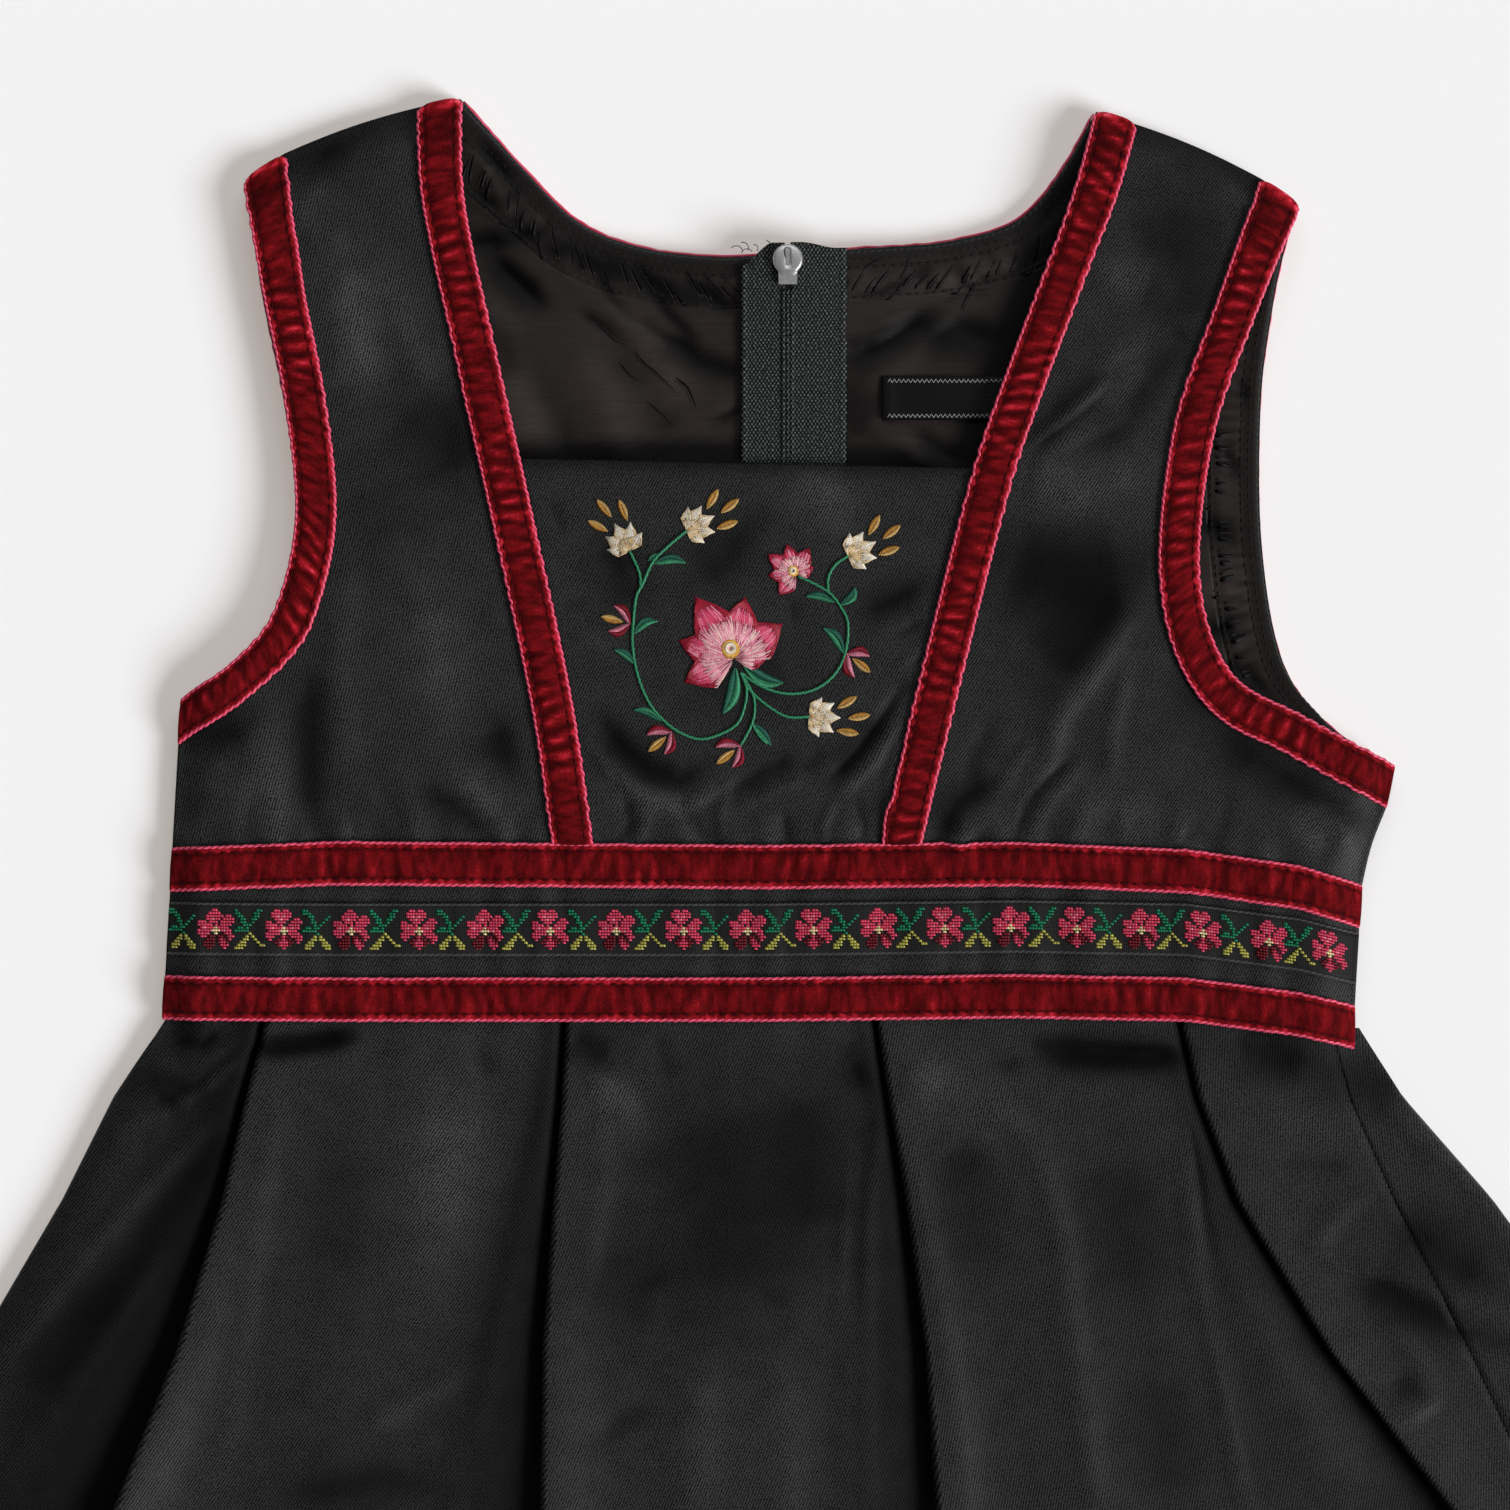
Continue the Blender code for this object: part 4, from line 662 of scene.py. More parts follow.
def rings(paths, radius, angles, flat=1.0):
    """Rings of points round paths (..., k, 3); flat squashes them from top to bottom."""
    side, up = (direction[..., None, :] for direction in frames(paths))
    c, s = np.cos(angles)[:, None], np.sin(angles)[:, None]
    return paths[..., None, :] + radius[..., None] * (c * side + flat * s * up)


def tubes(points, grain=None, tone=None, slot=0):
    """Tubes closed at both ends, from their rings of points (tubes, rings, sides, 3)."""
    sides = points.shape[2]
    ids = np.arange(points[..., 0].size).reshape(points.shape[:3])
    nxt = np.roll(ids, -1, axis=2)
    faces = [np.stack([ids[:, :-1], nxt[:, :-1], nxt[:, 1:], ids[:, 1:]], -1).reshape(-1, 4)]
    for j in range(1, sides - 1):
        faces += [ids[:, 0][:, [0, j + 1, j, j]], ids[:, -1][:, [0, j, j + 1, j + 1]]]
    return part(points, np.vstack(faces), grain, tone, slot)


def bundle(paths, radius, tones, sides=4, slot=0, flat=1.0):
    """Many closed threads at once: paths (n, k, 3), radius per point, tone per thread."""
    paths = np.asarray(paths, float)
    angles = np.arange(sides) * 2 * math.pi / sides + math.pi / sides
    radius = np.broadcast_to(np.asarray(radius, float), paths.shape[:2])
    points = rings(paths, radius[..., None], angles, flat)
    grain = np.zeros(points.shape)
    grain[..., 0] = distances(paths[0])[None, :, None]
    tone = np.broadcast_to(np.asarray(tones, float).reshape(-1, 1, 1, 3), points.shape)
    return tubes(points, grain, tone, slot)


def cord(path, radius, pitch, sides=5, per_turn=3, tone_low=0.1, slot=0):
    """A twisted cord along a path: its cross-section has two lobes that turn round each other.
    Its tone is painted highlight on the lobes, falling to tone_low as painted shade between them.
    """
    total = distances(path)[-1]
    t = np.linspace(0, total, max(int(total / pitch * per_turn), 4))
    angles = np.arange(sides) * 2 * math.pi / sides
    lobe = np.abs(np.cos(angles[None] - math.pi * t[:, None] / pitch))
    r = radius * (0.7 + 0.3 * lobe)
    r[[0, -1]] *= 0.5
    points = rings(along(path, t), r, angles)
    # painted highlight on the lobes, painted shade between them
    return tubes(points[None], None, grey(tone_low + (1 - tone_low) * lobe ** 2), slot)


def make_piece(name, parts, materials, node=None):
    """One object from parts, moved from millimetres in the layout into the frame."""
    starts = np.cumsum([0] + [len(p["points"]) for p in parts])
    points = (np.vstack([p["points"] for p in parts]) + SHIFT) * MM
    faces = np.vstack([p["faces"] + s for p, s in zip(parts, starts)])
    same = faces == np.roll(faces, -1, axis=1)
    keep = same.sum(axis=1) < 2
    faces, same = faces[keep], same[keep]
    slots = np.concatenate([np.full(len(p["faces"]), p["slot"]) for p in parts])[keep]
    polygons = faces.tolist()
    for row in np.nonzero(same.any(axis=1))[0]:
        polygons[row] = [v for v, twin in zip(polygons[row], same[row]) if not twin]
    mesh = bpy.data.meshes.new(name)
    mesh.from_pydata(points.tolist(), [], polygons)
    for key in ("grain", "tone"):
        values = np.vstack([p[key] for p in parts])
        layer = mesh.attributes.new(key, "FLOAT_VECTOR", "POINT")
        layer.data.foreach_set("vector", values.astype(np.float32).ravel())
    mesh.polygons.foreach_set("material_index", slots.astype(np.int32))
    mesh.shade_smooth()
    for mat in materials:
        mesh.materials.append(mat)
    obj = placed(name, mesh)
    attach(obj, "dress")
    if node:
        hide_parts(node)


def placed(name, data):
    """A new object in the scene."""
    obj = bpy.data.objects.new(name, data)
    bpy.context.scene.collection.objects.link(obj)
    return obj


# ---------------------------------------------------------------- materials
WAVE_SCALE = 0.314159       # a wave texture's scale that gives bands of pitch 1


def add(tree, kind, links=None, **settings):
    """A node; links maps its inputs to sockets or plain values."""
    node = tree.nodes.new(kind)
    for key, value in settings.items():
        setattr(node, key, value)
    for socket, value in (links or {}).items():
        if isinstance(value, bpy.types.NodeSocket):
            tree.links.new(value, node.inputs[socket])
        else:
            node.inputs[socket].default_value = value
    return node


def material(name, **values):
    """A Principled material; values set its sockets, with _ for a space."""
    mat = bpy.data.materials.new(name)
    mat.use_nodes = True
    shader = mat.node_tree.nodes["Principled BSDF"]
    for key, value in values.items():
        shader.inputs[key.replace("_", " ")].default_value = value
    return mat, mat.node_tree, shader


def attribute(tree, name):
    return add(tree, "ShaderNodeAttribute", attribute_name=name).outputs["Vector"]


def tone_value(tree):
    return add(tree, "ShaderNodeSeparateXYZ", {0: attribute(tree, "tone")}).outputs[0]


def waves(tree, vector, pitch, angle=0.0, distortion=0.0):
    """Soft bands of one pitch in millimetres, read along the grain."""
    turned = add(tree, "ShaderNodeMapping", {"Vector": vector, "Rotation": (0, 0, math.radians(angle))})
    return add(tree, "ShaderNodeTexWave",
               {"Vector": turned.outputs[0], "Scale": WAVE_SCALE / pitch, "Distortion": distortion,
                "Detail": 1.0, "Detail Scale": 1.5}).outputs["Fac"]


def noise(tree, vector, size, detail=2.0, stretch=(1, 1, 1)):
    """Noise with spots of about one size in millimetres."""
    scaled = add(tree, "ShaderNodeMapping", {"Vector": vector, "Scale": stretch})
    return add(tree, "ShaderNodeTexNoise",
               {"Vector": scaled.outputs[0], "Scale": 1 / size, "Detail": detail}).outputs["Fac"]


def blend(tree, factor, low, high):
    mix = add(tree, "ShaderNodeMix", data_type="RGBA")
    for socket, value in ((0, factor), (6, low), (7, high)):
        if isinstance(value, bpy.types.NodeSocket):
            tree.links.new(value, mix.inputs[socket])
        else:
            mix.inputs[socket].default_value = value if socket == 0 else (*value, 1.0)
    return mix.outputs[2]


def sum_of(tree, *terms):
    """Sum of (socket, weight) pairs and plain numbers."""
    total = None
    for term in terms:
        value, weight = term if isinstance(term, tuple) else (term, 1.0)
        if not isinstance(value, bpy.types.NodeSocket):
            scaled = value * weight
        else:
            scaled = add(tree, "ShaderNodeMath", {0: value, 1: weight}, operation="MULTIPLY").outputs[0]
        if total is None:
            total = scaled
        else:
            total = add(tree, "ShaderNodeMath", {0: total, 1: scaled}, operation="ADD").outputs[0]
    return total


def finish(tree, shader, colour, height, depth_mm=0.05, strength=0.5):
    """Give a shader its colour and its relief."""
    tree.links.new(colour, shader.inputs["Base Color"])
    node = add(tree, "ShaderNodeBump",
               {"Height": height, "Distance": depth_mm * MM, "Strength": strength})
    tree.links.new(node.outputs[0], shader.inputs["Normal"])


def ramp(tree, factor, stops):
    node = add(tree, "ShaderNodeValToRGB", {"Fac": factor})
    elements = node.color_ramp.elements
    while len(elements) < len(stops):
        elements.new(0.5)
    for element, (place, colour) in zip(elements, stops):
        element.position = place
        element.color = (*colour, 1.0)
    return node.outputs[0]


def twill():
    """Black satin twill: fine raised diagonal lines with a soft sheen.
    Its colour is multiplied by the tone, which holds painted light and shade.
    """
    mat, tree, shader = material("satin_twill", Roughness=0.5, Specular_IOR_Level=0.075)
    grain = attribute(tree, "grain")
    lines = waves(tree, grain, TWILL_PITCH, 90 - TWILL_LINES[0], 1.0)
    cross = waves(tree, grain, CROSS_PITCH, 90 - TWILL_LINES[1], 1.0)
    yarn = noise(tree, grain, 0.42, 2.0, (0.75, 1.0, 1.0))
    cloud = noise(tree, grain, 6.0, 4.0)
    slub = noise(tree, grain, 0.7, 2.0, (0.12, 1.0, 1.0))
    share = sum_of(tree, (lines, 0.8), (cross, 0.15), (yarn, 2.1), (cloud, 0.5), (slub, 0.2), -1.37)
    colour = with_painted_light(tree, blend(tree, share, (0.0008, 0.0009, 0.001), (0.036, 0.0372, 0.0368)))
    roughness = sum_of(tree, 0.84, (lines, -0.1), (cloud, -0.16), (tone_value(tree), -0.5))
    tree.links.new(roughness, shader.inputs["Roughness"])
    finish(tree, shader, colour, sum_of(tree, (lines, 1.0), (cross, 0.3), (yarn, 0.5)), 0.05, 0.6)
    return mat


def with_painted_light(tree, colour):
    """A colour times twice the tone, which holds painted light and shade."""
    tone = add(tree, "ShaderNodeVectorMath", {0: attribute(tree, "tone"), 1: (2.0, 2.0, 2.0)},
               operation="MULTIPLY").outputs[0]
    return add(tree, "ShaderNodeVectorMath", {0: colour, 1: tone}, operation="MULTIPLY").outputs[0]


def lining_cloth():
    """Brown-black lining with fine streaks; its colour is multiplied by the tone's painted light and
    shade.
    """
    mat, tree, shader = material("lining_cloth", Roughness=0.5, Specular_IOR_Level=0.11)
    grain = attribute(tree, "grain")
    weave = sum_of(tree, (waves(tree, grain, 0.34, 0), 0.5), (waves(tree, grain, 0.34, 90), 0.5))
    streak = noise(tree, grain, 1.2, 2.0, (0.12, 1.5, 1))
    colour = blend(tree, sum_of(tree, (weave, 0.5), (streak, 0.4), -0.02),
                   (0.006, 0.0046, 0.0042), (0.034, 0.027, 0.0255))
    finish(tree, shader, with_painted_light(tree, colour), sum_of(tree, (weave, 0.5), (streak, 0.3)))
    return mat


def velvet():
    """Cut pile, dark to bright pink-red by its tone: painted shade in the puckers' troughs, painted
    highlight on their crests and painted sheen where the pile is crushed.
    """
    mat, tree, shader = material("velvet_pile", Roughness=0.9, Specular_IOR_Level=0.05,
                                 Sheen_Weight=0.05, Sheen_Roughness=0.35, Sheen_Tint=(1.0, 0.12, 0.16, 1))
    grain = attribute(tree, "grain")
    tone = tone_value(tree)
    tuft = noise(tree, grain, 0.5, 3.0)
    patch = noise(tree, grain, 3.2, 2.0, (0.6, 1.4, 1.0))
    share = sum_of(tree, (tone, 1.0), (tuft, 0.4), (patch, 0.8), -0.56)
    stops = ((0.0, (0.016, 0.0006, 0.001)), (0.3, (0.06, 0.0016, 0.0024)), (0.55, (0.17, 0.004, 0.0065)),
             (0.8, (0.47, 0.015, 0.03)), (1.0, (0.8, 0.1, 0.15)))
    finish(tree, shader, ramp(tree, share, stops), tuft, 0.12, 0.8)
    return mat


def toned(name, low, high, **values):
    """Colour between two ends by the tone's first value; for cords and threads."""
    mat, tree, shader = material(name, **values)
    tone = tone_value(tree)
    fuzz = noise(tree, attribute(tree, "grain"), 0.25)
    finish(tree, shader, blend(tree, sum_of(tree, (tone, 0.85), (fuzz, 0.35), -0.1), low, high), fuzz)
    return mat


def floss():
    """Shiny embroidery thread in the colour that its tone holds."""
    mat, tree, shader = material("embroidery_floss", Roughness=0.5, Specular_IOR_Level=0.22)
    tone = attribute(tree, "tone")
    ply = waves(tree, attribute(tree, "grain"), 0.45, 0, 0.5)
    shade = blend(tree, ply, (0.6, 0.6, 0.6), (1.0, 1.0, 1.0))
    colour = add(tree, "ShaderNodeMix", data_type="RGBA", blend_type="MULTIPLY")
    colour.inputs[0].default_value = 1.0
    tree.links.new(tone, colour.inputs[6])
    tree.links.new(shade, colour.inputs[7])
    finish(tree, shader, colour.outputs[2], ply)
    return mat


def ribbed():
    """Black ribbed ground of the woven ribbon."""
    mat, tree, shader = material("ribbon_ground", Roughness=0.6, Specular_IOR_Level=0.08)
    grain = attribute(tree, "grain")
    ribs = sum_of(tree, (waves(tree, grain, 0.42, 0), 0.6), (waves(tree, grain, 0.5, 90), 0.4))
    speck = noise(tree, grain, 0.4)
    colour = blend(tree, sum_of(tree, (ribs, 0.7), (speck, 0.4), -0.15),
                   (0.001, 0.001, 0.0011), (0.03, 0.029, 0.029))
    finish(tree, shader, colour, ribs, 0.06, 0.6)
    return mat


def knitted():
    """Knitted tape: light loops round small black gaps, in columns; the tone adds painted highlight
    where the modelled loops stand up.
    """
    mat, tree, shader = material("knit_tape", Roughness=0.7, Specular_IOR_Level=0.12)
    grain = attribute(tree, "grain")
    tone = tone_value(tree)
    loops = noise(tree, grain, 0.6, 1.0, (1.0, 1.4, 1.0))
    slants = [waves(tree, grain, 0.74, angle, 1.0) for angle in (33, -33)]
    share = sum_of(tree, (loops, 1.2), (slants[0], 0.55), (slants[1], 0.55), (tone, 0.22), -0.83)
    stops = ((0.18, (0.001, 0.001, 0.001)), (0.42, (0.010, 0.0125, 0.012)), (0.62, (0.028, 0.035, 0.033)),
             (0.9, (0.10, 0.115, 0.11)))
    finish(tree, shader, ramp(tree, share, stops), loops, 0.2, 0.6)
    return mat


def satin_label():
    """Black satin of the blank label."""
    mat, tree, shader = material("label_satin", Roughness=0.4, Specular_IOR_Level=0.07)
    grain = attribute(tree, "grain")
    weave = waves(tree, grain, 0.3, 90, 0.4)
    colour = blend(tree, sum_of(tree, (weave, 0.5), (noise(tree, grain, 0.5), 0.4)),
                   (0.0008, 0.0008, 0.0009), (0.009, 0.009, 0.0095))
    finish(tree, shader, colour, weave, 0.05, 0.6)
    return mat


def enamel():
    """Worn grey metal of the slider and its tab."""
    mat, tree, shader = material("grey_metal", Roughness=0.34, Metallic=0.75, Specular_IOR_Level=0.5)
    wear = noise(tree, add(tree, "ShaderNodeTexCoord").outputs["Object"], 0.0008, 3.0)
    finish(tree, shader, blend(tree, wear, (0.36, 0.36, 0.36), (0.6, 0.6, 0.6)), wear, 0.03, 0.3)
    return mat


# ---------------------------------------------------------------- ribbons and stitches
STITCH = {"pitch": 2.9, "length": 1.7, "radius": 0.2, "tone": 0.5}
STITCH_INSET = 1.1      # of a ribbon's stitch rows from its edges
PICOT = {"pitch": 1.7, "peek": 0.5}
RIBBON_COLUMNS = (0.0, 0.05, 0.09, 0.13, 0.17, 0.22, 0.35)      # and the same from the other edge
RIBBON_FORM = {     # by the way a ribbon faces: up on the front, or down, plainer, under the back
    1: {"columns": RIBBON_COLUMNS, "middle": (0.5,), "row": 0.72, "crown": 0.42, "ripple": 0.26,
        "edge": {"radius": 0.52, "sides": 5, "per_turn": 4}},
    -1: {"columns": (0.0, 0.2, 0.4), "middle": (), "row": 2.2, "crown": 0.12, "ripple": 0.08,
         "edge": {"radius": 0.42, "sides": 4, "per_turn": 1}}}
VELVET, SELVEDGE, THREAD = 0, 1, 2      # material slots of a velvet ribbon
RIBBON_OUT = (CLOTH + THIN) / 2 + 0.15  # from the middle of the front's cloth to that of a ribbon
DASH_ARCH = (-0.25, 0.05, 0.12, 0.05, -0.25)    # height and girth along a stitch, in radii
DASH_TAPER = (0.45, 0.9, 1.0, 0.9, 0.45)


def dashes(line, slot, pitch, length, radius, tone, lift=0.1):
    """A row of stitches along a line of points."""
    total = distances(line)[-1]
    count = max(int(total / pitch), 1)
    first = (total - (count - 1) * pitch - length) / 2 + np.arange(count) * pitch
    first = first + RNG.uniform(-0.12, 0.12, count) * pitch
    paths = along(line, np.clip(first[:, None] + np.linspace(0, length, 5), 0, total))
    paths[..., 2] += lift + np.array(DASH_ARCH) * radius * 2
    tones = grey(tone * RNG.uniform(0.7, 1.15, count))
    return bundle(paths, radius * np.array(DASH_TAPER), tones, slot=slot)


def pucker(t, s, seed):
    """Uneven transverse ripples along a ribbon, between -1 and 1."""
    phase = 1.3 * np.sin(t / 15.0 + seed) + 0.9 * np.sin(t / 6.3 + 2.1 * seed)
    slant = 0.35 * np.sin(t / 21.0 + 3.3 * seed)
    amount = 0.55 + 0.45 * np.sin(t / 8.7 + 1.7 * seed + 0.25 * s)
    first = np.sin(2 * math.pi * (t + slant * s) / 3.9 + phase + 0.5 * np.sin(0.8 * s + t / 3.0))
    second = np.sin(2 * math.pi * t / 2.4 + 1.6 * phase + seed) * np.cos(0.7 * s + t / 2.0)
    return 0.72 * amount * first + 0.28 * second


def ribbon(edge_a, edge_b, surface, out, seed, facing=1, gather=1.0, shoulder=False, peek=0.2):
    """Parts of a velvet ribbon between two edges: pile, twisted selvedges and stitches.

    facing is 1 for a ribbon on the front and -1 for a plainer one under the back. shoulder is for
    a ribbon that ends where it turns over a shoulder, where its pile gets a painted highlight. peek
    is how far its selvedges stand out beyond it.
    """
    form = RIBBON_FORM[facing]
    across = np.array(form["columns"] + form["middle"] + tuple(1 - v for v in form["columns"][::-1]))
    columns = len(across)
    rows = int(distances((edge_a + edge_b) / 2)[-1] / form["row"])
    xy = ruled(resampled(edge_a, rows), resampled(edge_b, rows), across)
    t = distances(xy[:, columns // 2])[:, None]
    width = np.linalg.norm(xy[:, -1] - xy[:, 0], axis=1)[:, None]
    s = (across[None] - 0.5) * width
    sway = 0.26 * gather * pucker(t, 0 * s, seed + 5.0) * (2 * s / width) ** 3
    xy = xy + unit(xy[:, -1:] - xy[:, :1]) * sway[..., None]
    to_end = t[-1] - t
    if shoulder:
        bulge = 1.3 * (1 - (2 * s / width) ** 4) - 0.7
        xy = xy + unit(xy[-1] - xy[-2])[None] * (bulge * np.clip(1 - to_end / 3.5, 0, 1))[..., None]
    xyz = net(xy, surface)[0]
    seam_s = width / 2 - STITCH_INSET       # half the width between the two rows of stitches
    from_seam = seam_s - np.abs(s)
    profile = np.sin(math.pi / 2 * np.clip(np.clip(from_seam / seam_s, 0, 1) * 1.7, 0, 1))
    margin = np.clip(1 - np.abs(width / 2 - STITCH_INSET / 2 - np.abs(s)) / 0.7, 0, 1)
    wave = pucker(t, s, seed) * gather
    crown = form["crown"] * profile + 0.12 * margin
    ripple = form["ripple"] * wave * (0.25 + 0.75 * profile)
    normals = point_normals(xyz.reshape(-1, 3), grid_faces(rows, columns)).reshape(xyz.shape)
    if normals[..., 2].sum() < 0:
        normals = -normals
    if facing < 0:
        crown, ripple = 0.16 - crown, -ripple
    middle = xyz + normals * (out + crown + ripple)[..., None]
    # painted highlight on the puckers' crests and painted shade in their troughs
    pile = 0.36 + 0.46 * np.clip(wave, 0, 1) ** 1.4 * profile - 0.26 * np.clip(-wave, 0, 1)
    # painted sheen in scallops on the crushed margins outside the stitches
    scallop = 0.1 + 0.45 * np.cos(2 * math.pi * t / STITCH["pitch"] + 0.9 * np.sin(t / 7.0))
    crush = ease((STITCH_INSET + scallop - width / 2 + np.abs(s)) / 0.7)
    crush = crush * (0.75 + 0.25 * np.sin(t / 4.1 + seed))
    # painted shade in the dent along each row of stitches
    dent = np.exp(-((seam_s - 0.2 - np.abs(s)) / 0.5) ** 2)
    pile = pile * (1 - 0.45 * dent) * (1 - crush) + (0.62 + 0.16 * wave) * crush
    if shoulder:
        # painted shade just before the turn over the shoulder and a painted highlight on the turn
        pile = pile - 0.12 * np.exp(-((to_end - 7.0) / 4.0) ** 2)
        pile = pile + 0.5 * np.exp(-(to_end / 2.4) ** 2) * (0.8 + 0.2 * np.sin(2.2 * s + 1.3 * to_end))
    grain = np.dstack([s, np.broadcast_to(t, s.shape), np.zeros(s.shape)])
    parts = [shell([(middle, grain, grey(pile))], THIN * 0.8, VELVET)]
    share = STITCH_INSET / width
    for column, k in ((0, 1), (-1, columns - 2)):
        line = middle[:, column] + normals[:, column] * 0.1 * facing
        line = line + unit(middle[:, column] - middle[:, k]) * peek
        parts.append(cord(line, pitch=PICOT["pitch"], tone_low=0.0, slot=SELVEDGE, **form["edge"]))
        if facing > 0:
            seam = xyz[:, column] * (1 - share) + xyz[:, -1 - column] * share
            parts.append(dashes(seam + normals[:, k] * (out + THIN * 0.4), THREAD, **STITCH))
    return parts


def velvet_piece(name, node, edges, seed, mats, facing=1, **form):
    """One velvet ribbon between two edges, over the front's cloth or under the back's."""
    surface, out = (front_z, RIBBON_OUT) if facing > 0 else (back_layer(RIBBON_BACK_Z), 0.0)
    make_piece("velvet_" + name, ribbon(*edges, surface, out, seed, facing, **form), mats, node)


def front_ribbons(mats):
    """The velvet ribbons along the armholes and the neck edges of the front."""
    for k, side in enumerate(SIGN):
        nets = quarter(side, 150, 40, 8)
        arm, neck = nets["arm"], nets["neck"]
        velvet_piece("armhole_" + side, "armhole_ribbon_front_" + side, (arm[:, 0], arm[:, -1]),
                     1.3 + k, mats, shoulder=True)
        neck = neck[neck[:, :, 1].min(axis=1) > waist_top(neck[:, 0, 0]) - 1.0]
        neck[0, :, 1] = waist_top(neck[0, :, 0]) + GAP
        velvet_piece("neck_" + side, "neck_ribbon_front_" + side, (neck[:, 0], neck[:, -1]),
                     2.7 + 2 * k, mats, shoulder=True)


def back_ribbons(mats):
    """The same ribbons on the outside of the back, which lies on the floor."""
    for k, side in enumerate(SIGN):
        nets = quarter(side, 90, 24, 5, back=True)
        for key, place, peek in (("arm", "armhole", 0.0), ("neck", "neck", PICOT["peek"])):
            velvet_piece(f"{place}_back_{side}", f"{place}_ribbon_back_{side}",
                         (nets[key][:, 0], nets[key][:, -1]), 4.1 + k, mats, -1, peek=peek)


def band_edges(low, high, x_from=None, x_to=None, count=400):
    """Lower and upper edge of a strip across the waist, as paths from left to right."""
    edges = []
    for edge in (low, high):
        left = side_x(edge(-140.0), 1) if x_from is None else x_from
        right = side_x(edge(139.0), 2) if x_to is None else x_to
        xs = np.linspace(left, right, count)
        edges.append(np.column_stack([xs, edge(xs)]))
    return edges


BAND = {    # lower and upper edge of each strip round the waist
    "waistband": (lambda x: waist_seam(x) + RIBBON_W / 2 + GAP,
                  lambda x: waist_top(x) - RIBBON_W / 2 - GAP),
    "top": (lambda x: waist_top(x) - RIBBON_W, waist_top),
    "jacquard": (lambda x: waist_seam(x) + JACQUARD[0], lambda x: waist_seam(x) + JACQUARD[1]),
    "bottom": (waist_seam, lambda x: waist_seam(x) + RIBBON_W)}
HALVES = {"left": (None, ZIP_X - ZIP_SLOT), "right": (ZIP_X + ZIP_SLOT, None)}     # x of their ends


def waist_ribbons(mats):
    """The velvet ribbons along the waistband's top and bottom, all round."""
    for k, place in enumerate(("top", "bottom")):
        edges = band_edges(*BAND[place])
        velvet_piece("waist_" + place, f"waist_ribbon_{place}_front", edges, 5.2 + 1.9 * k, mats,
                     gather=0.45)
        for side, ends in HALVES.items():
            velvet_piece(f"waist_{place}_back_{side}", f"waist_ribbon_{place}_back_{side}",
                         band_edges(*BAND[place], *ends), 6.0 + k, mats, -1)


# ---------------------------------------------------------------- cloth panels
def front_panels(mat):
    """The satin beside the centre front."""
    for side in SIGN:
        nets = [front_net(n, BODICE_TILT[side]) for n in quarter(side, 136, 60, 8).values()]
        make_piece("cloth_front_" + side, [shell(nets, CLOTH)], [mat], "front_" + side)


def plastron(mat):
    """The centre front, with painted shade along its top edge."""
    edges = []
    for side, turn in SIGN.items():
        path = smooth_path(NECK[side])
        top = looked_up(PLASTRON_TOP, NECK[side][2][0], 1)
        ys = np.linspace(bodice_low(NECK[side][0][0]), top, 104)
        edges.append(np.column_stack([np.interp(ys, path[:, 1], path[:, 0]) + turn * GAP, ys]))
    flat = ruled(edges[0], edges[1], np.linspace(0, 1, 92))
    flat[0, :, 1] = bodice_low(flat[0, :, 0])
    xyz, grain, tone = front_net(flat, BODICE_TILT["plastron"])
    below = flat[-1:, :, 1] - flat[..., 1]
    tone = tone * (1 - TOP_SHADE["dark"] * np.exp(-(below / TOP_SHADE["reach"]) ** 2))[..., None]
    make_piece("cloth_plastron", [shell([(xyz, grain, tone)], CLOTH)], [mat], "plastron")


def band_net(low, high, rows, columns, surface, x_from=None, x_to=None):
    """A net across the waist, closer where it rolls over the side seams."""
    a, b = band_edges(low, high, x_from, x_to, columns)
    roll = np.array(ROLL_STEPS[1:])
    across = np.linspace(0, 1, columns)
    width = a[-1, 0] - a[0, 0]
    if x_from is None:
        across = np.concatenate([[0], roll / width, across[across > ROLL / width]])
    if x_to is None:
        across = np.concatenate([across[across < 1 - ROLL / width], 1 - roll[::-1] / width, [1]])
    span = np.linspace(0, 1, columns)
    a, b = [np.stack([np.interp(across, span, e[:, k]) for k in range(2)], -1) for e in (a, b)]
    flat = ruled(a, b, np.linspace(0, 1, rows)).transpose(1, 0, 2)
    return net(flat, surface)


def waistband(mat):
    """The satin band below the woven ribbon, all round."""
    low, high = BAND["waistband"]
    band = band_net(low, high, 16, 220, front_z)
    make_piece("cloth_waistband_front", [shell([band], CLOTH)], [mat], "waistband_front")
    for side, ends in HALVES.items():
        band = band_net(low, high, 8, 60, back_layer(BACK_Z), *ends)
        make_piece("cloth_waistband_back_" + side, [shell([band], THIN)], [mat],
                   "waistband_back_" + side)


def back_panels(mat):
    """The back's halves, darker beside the armholes."""
    for side in SIGN:
        nets = [net(n, back_layer(BACK_Z)) for n in quarter(side, 60, 24, 5, back=True).values()]
        nets[1][2][:] *= 0.5
        make_piece("cloth_back_" + side, [shell(nets, THIN)], [mat], "back_" + side)


SEAM_ROWS, OVERLOCK_ROW = (3.2, 10.2), 1.5      # stitch rows of the lining, from its edge
LINING_STITCH = {"pitch": 2.1, "length": 1.4, "radius": 0.15, "tone": 0.3, "lift": 0.05}
GATHER_HEIGHT, GATHER_FADE = 0.6, 6.0


